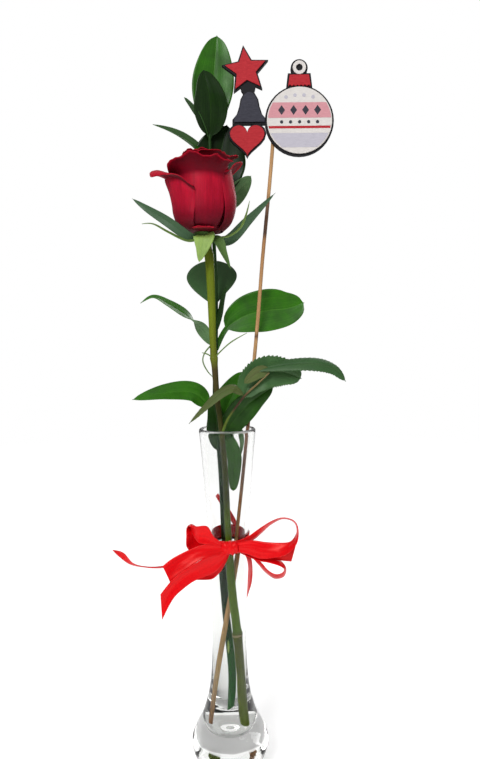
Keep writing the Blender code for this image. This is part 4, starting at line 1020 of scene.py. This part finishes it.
def makePick():
    faceY = pick["boardY"] - pick["boardThick"] / 2 - pick["gap"] - pick["faceThick"] / 2
    parts = {
        "Bauble": (circle, whitePaint, "white_paint"),
        "Cap": (cap, redPaint, "red_paint"),
        "Ring": (circle, whitePaint, "white_paint"),
        "Star": (star, redPaint, "red_paint"),
        "Bell": (bell, charcoalPaint, "charcoal_paint"),
        "Heart": (heart, redPaint, "red_paint"),
    }
    for name, (shape, material, slot) in parts.items():
        values = pick[name.lower()]
        holes = [circle(pick["ringHole"], 32)] if name == "Ring" else []
        outlines = [placed(values["at"], o) for o in [shape(**without(values, "at")), *holes]]
        flat = plate("pick" + name, outlines, faceY, pick["faceThick"], material, pick["bevel"])
        stands(flat, "pick_" + name.lower(), slot)
    for name, (shapes, material, slot) in ornaments().items():
        outlines = [placed(pick["bauble"]["at"], shape) for shape in shapes]
        front = faceY - pick["faceThick"] / 2 - (pick["reliefStep"] if name == "Diamonds" else 0)
        relief = plate("bauble" + name, outlines, front, pick["reliefThick"], material,
                       pick["reliefBevel"])
        stands(relief, "pick_bauble", slot)
    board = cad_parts["pick_board"].data.materials
    board.clear()
    board.append(blackBoard)


print("skewer and pick")
makeSkewer()
makePick()

# Floor, light and camera.

studio = dict(
    cameraAt=(0.0091, -0.41, 0.297), lens=28.46, pitch=3.3, roll=-0.508, floorRadius=1.8,
    floorDrop=0.0002, floorGlow=0.45)
lights = {
    "keyLight": dict(at=(-0.45, -1.0, 1.0), size=0.5, power=11.5),
    "fillLight": dict(at=(0.9, -0.7, 0.5), size=0.9, power=1.6),
    "rimLight": dict(at=(0.4, 0.9, 0.8), size=0.6, power=3.0),
}

# How bright the sky and the floor are, to, as a direction or distance goes from low to high.
shades = dict(
    skyDiffuse=dict(low=-1.0, high=1.0, to=(0.05, 0.42)),
    skyGloss=dict(low=0.3, high=0.9, to=(0.05, 0.55)),
    skyGlass=dict(low=-0.7, high=-0.35, to=(0.25, 0.95)),
    sideGlass=dict(low=0.35, high=0.8, to=(0.0, 0.2)),
    floorThrough=dict(low=0.05, high=0.22, to=(0.0, 0.42)), floorFade=dict(low=0.45, high=1.6))


def areaLight(name, at, size, power, aim=(0, 0, 0.3)):
    light = bpy.data.lights.new(name, "AREA")
    light.size = size
    light.energy = power
    obj = bpy.data.objects.new(name, light)
    obj.location = at
    obj.rotation_euler = (Vector(aim) - Vector(at)).to_track_quat("-Z", "Y").to_euler()
    bpy.context.scene.collection.objects.link(obj)


def makeWorld():
    # A white room: white to the eye, softer as light on the object and darker in its reflections.
    world = bpy.data.worlds.new("studio")
    bpy.context.scene.world = world
    world.use_nodes = True
    room = Nodes(world.node_tree)
    path = room.add("LightPath")
    towards = room.add("TexCoord")["Generated"]
    upwards = room.axis(towards, "Z")
    aside = room.sum("ABSOLUTE", room.axis(towards, "X"))
    seen = room.sum("ADD", room.range(upwards, **shades["skyGlass"]),
                    room.range(aside, **shades["sideGlass"]))
    outside = room.sum("SUBTRACT", path["Is Glossy Ray"], path["Transmission Depth"], use_clamp=True)
    strength = room.choose(outside, seen, room.range(upwards, **shades["skyGloss"]))
    strength = room.choose(path["Diffuse Depth"], strength,
                           room.range(upwards, **shades["skyDiffuse"]))
    room.feed("Strength", room.choose(path["Is Camera Ray"], strength, 1.0), "Background")
    room.tree.nodes["Background"].inputs["Color"].default_value = (1, 1, 1, 1)


def makeFloor():
    bm = bmesh.new()
    bmesh.ops.create_circle(bm, cap_ends=True, segments=96, radius=studio["floorRadius"])
    look = Look("paleFloor", 0.9, Emission_Color=(1, 1, 1, 1), Specular_IOR_Level=0.0)
    look.colour(look.ramp(look.noise(look.place(), 8.0), (0.3, (0.86, 0.86, 0.86)),
                          (0.7, (0.88, 0.88, 0.88))))
    away = look.length(look.place())
    # The floor glows evenly to the camera so that it reads white; to all other rays its glow fades
    # to nothing within 0.05 m of the vase, painted shade round the vase's foot.
    through = look.range(away, **shades["floorThrough"])
    seen = look.add("LightPath")["Is Camera Ray"]
    look.feed("Emission Strength", look.choose(seen, through, studio["floorGlow"]))
    fade = look.range(away, **shades["floorFade"], interpolation_type="SMOOTHSTEP")
    clear = look.add("BsdfTransparent")[0]
    mixed = look.add("MixShader", {0: fade, 1: look.shader.outputs[0], 2: clear})[0]
    look.feed("Surface", mixed, "Material Output")
    floor = meshObject("floor", bm, [look.material], False)
    floor.location.z = -studio["floorDrop"]


def makeStudio():
    scene = bpy.context.scene
    scene.view_settings.view_transform = "Standard"
    lens = bpy.data.cameras.new("camera")
    lens.lens = studio["lens"]
    lens.clip_start = 0.01
    camera = bpy.data.objects.new("camera", lens)
    camera.location = studio["cameraAt"]
    pitch = Matrix.Rotation(radians(90 - studio["pitch"]), 3, "X")
    roll = Matrix.Rotation(radians(studio["roll"]), 3, "Z")
    camera.rotation_euler = (pitch @ roll).to_euler()
    scene.collection.objects.link(camera)
    scene.camera = camera
    for name, light in lights.items():
        areaLight(name, **light)
    makeWorld()
    makeFloor()


print("studio")
makeStudio()
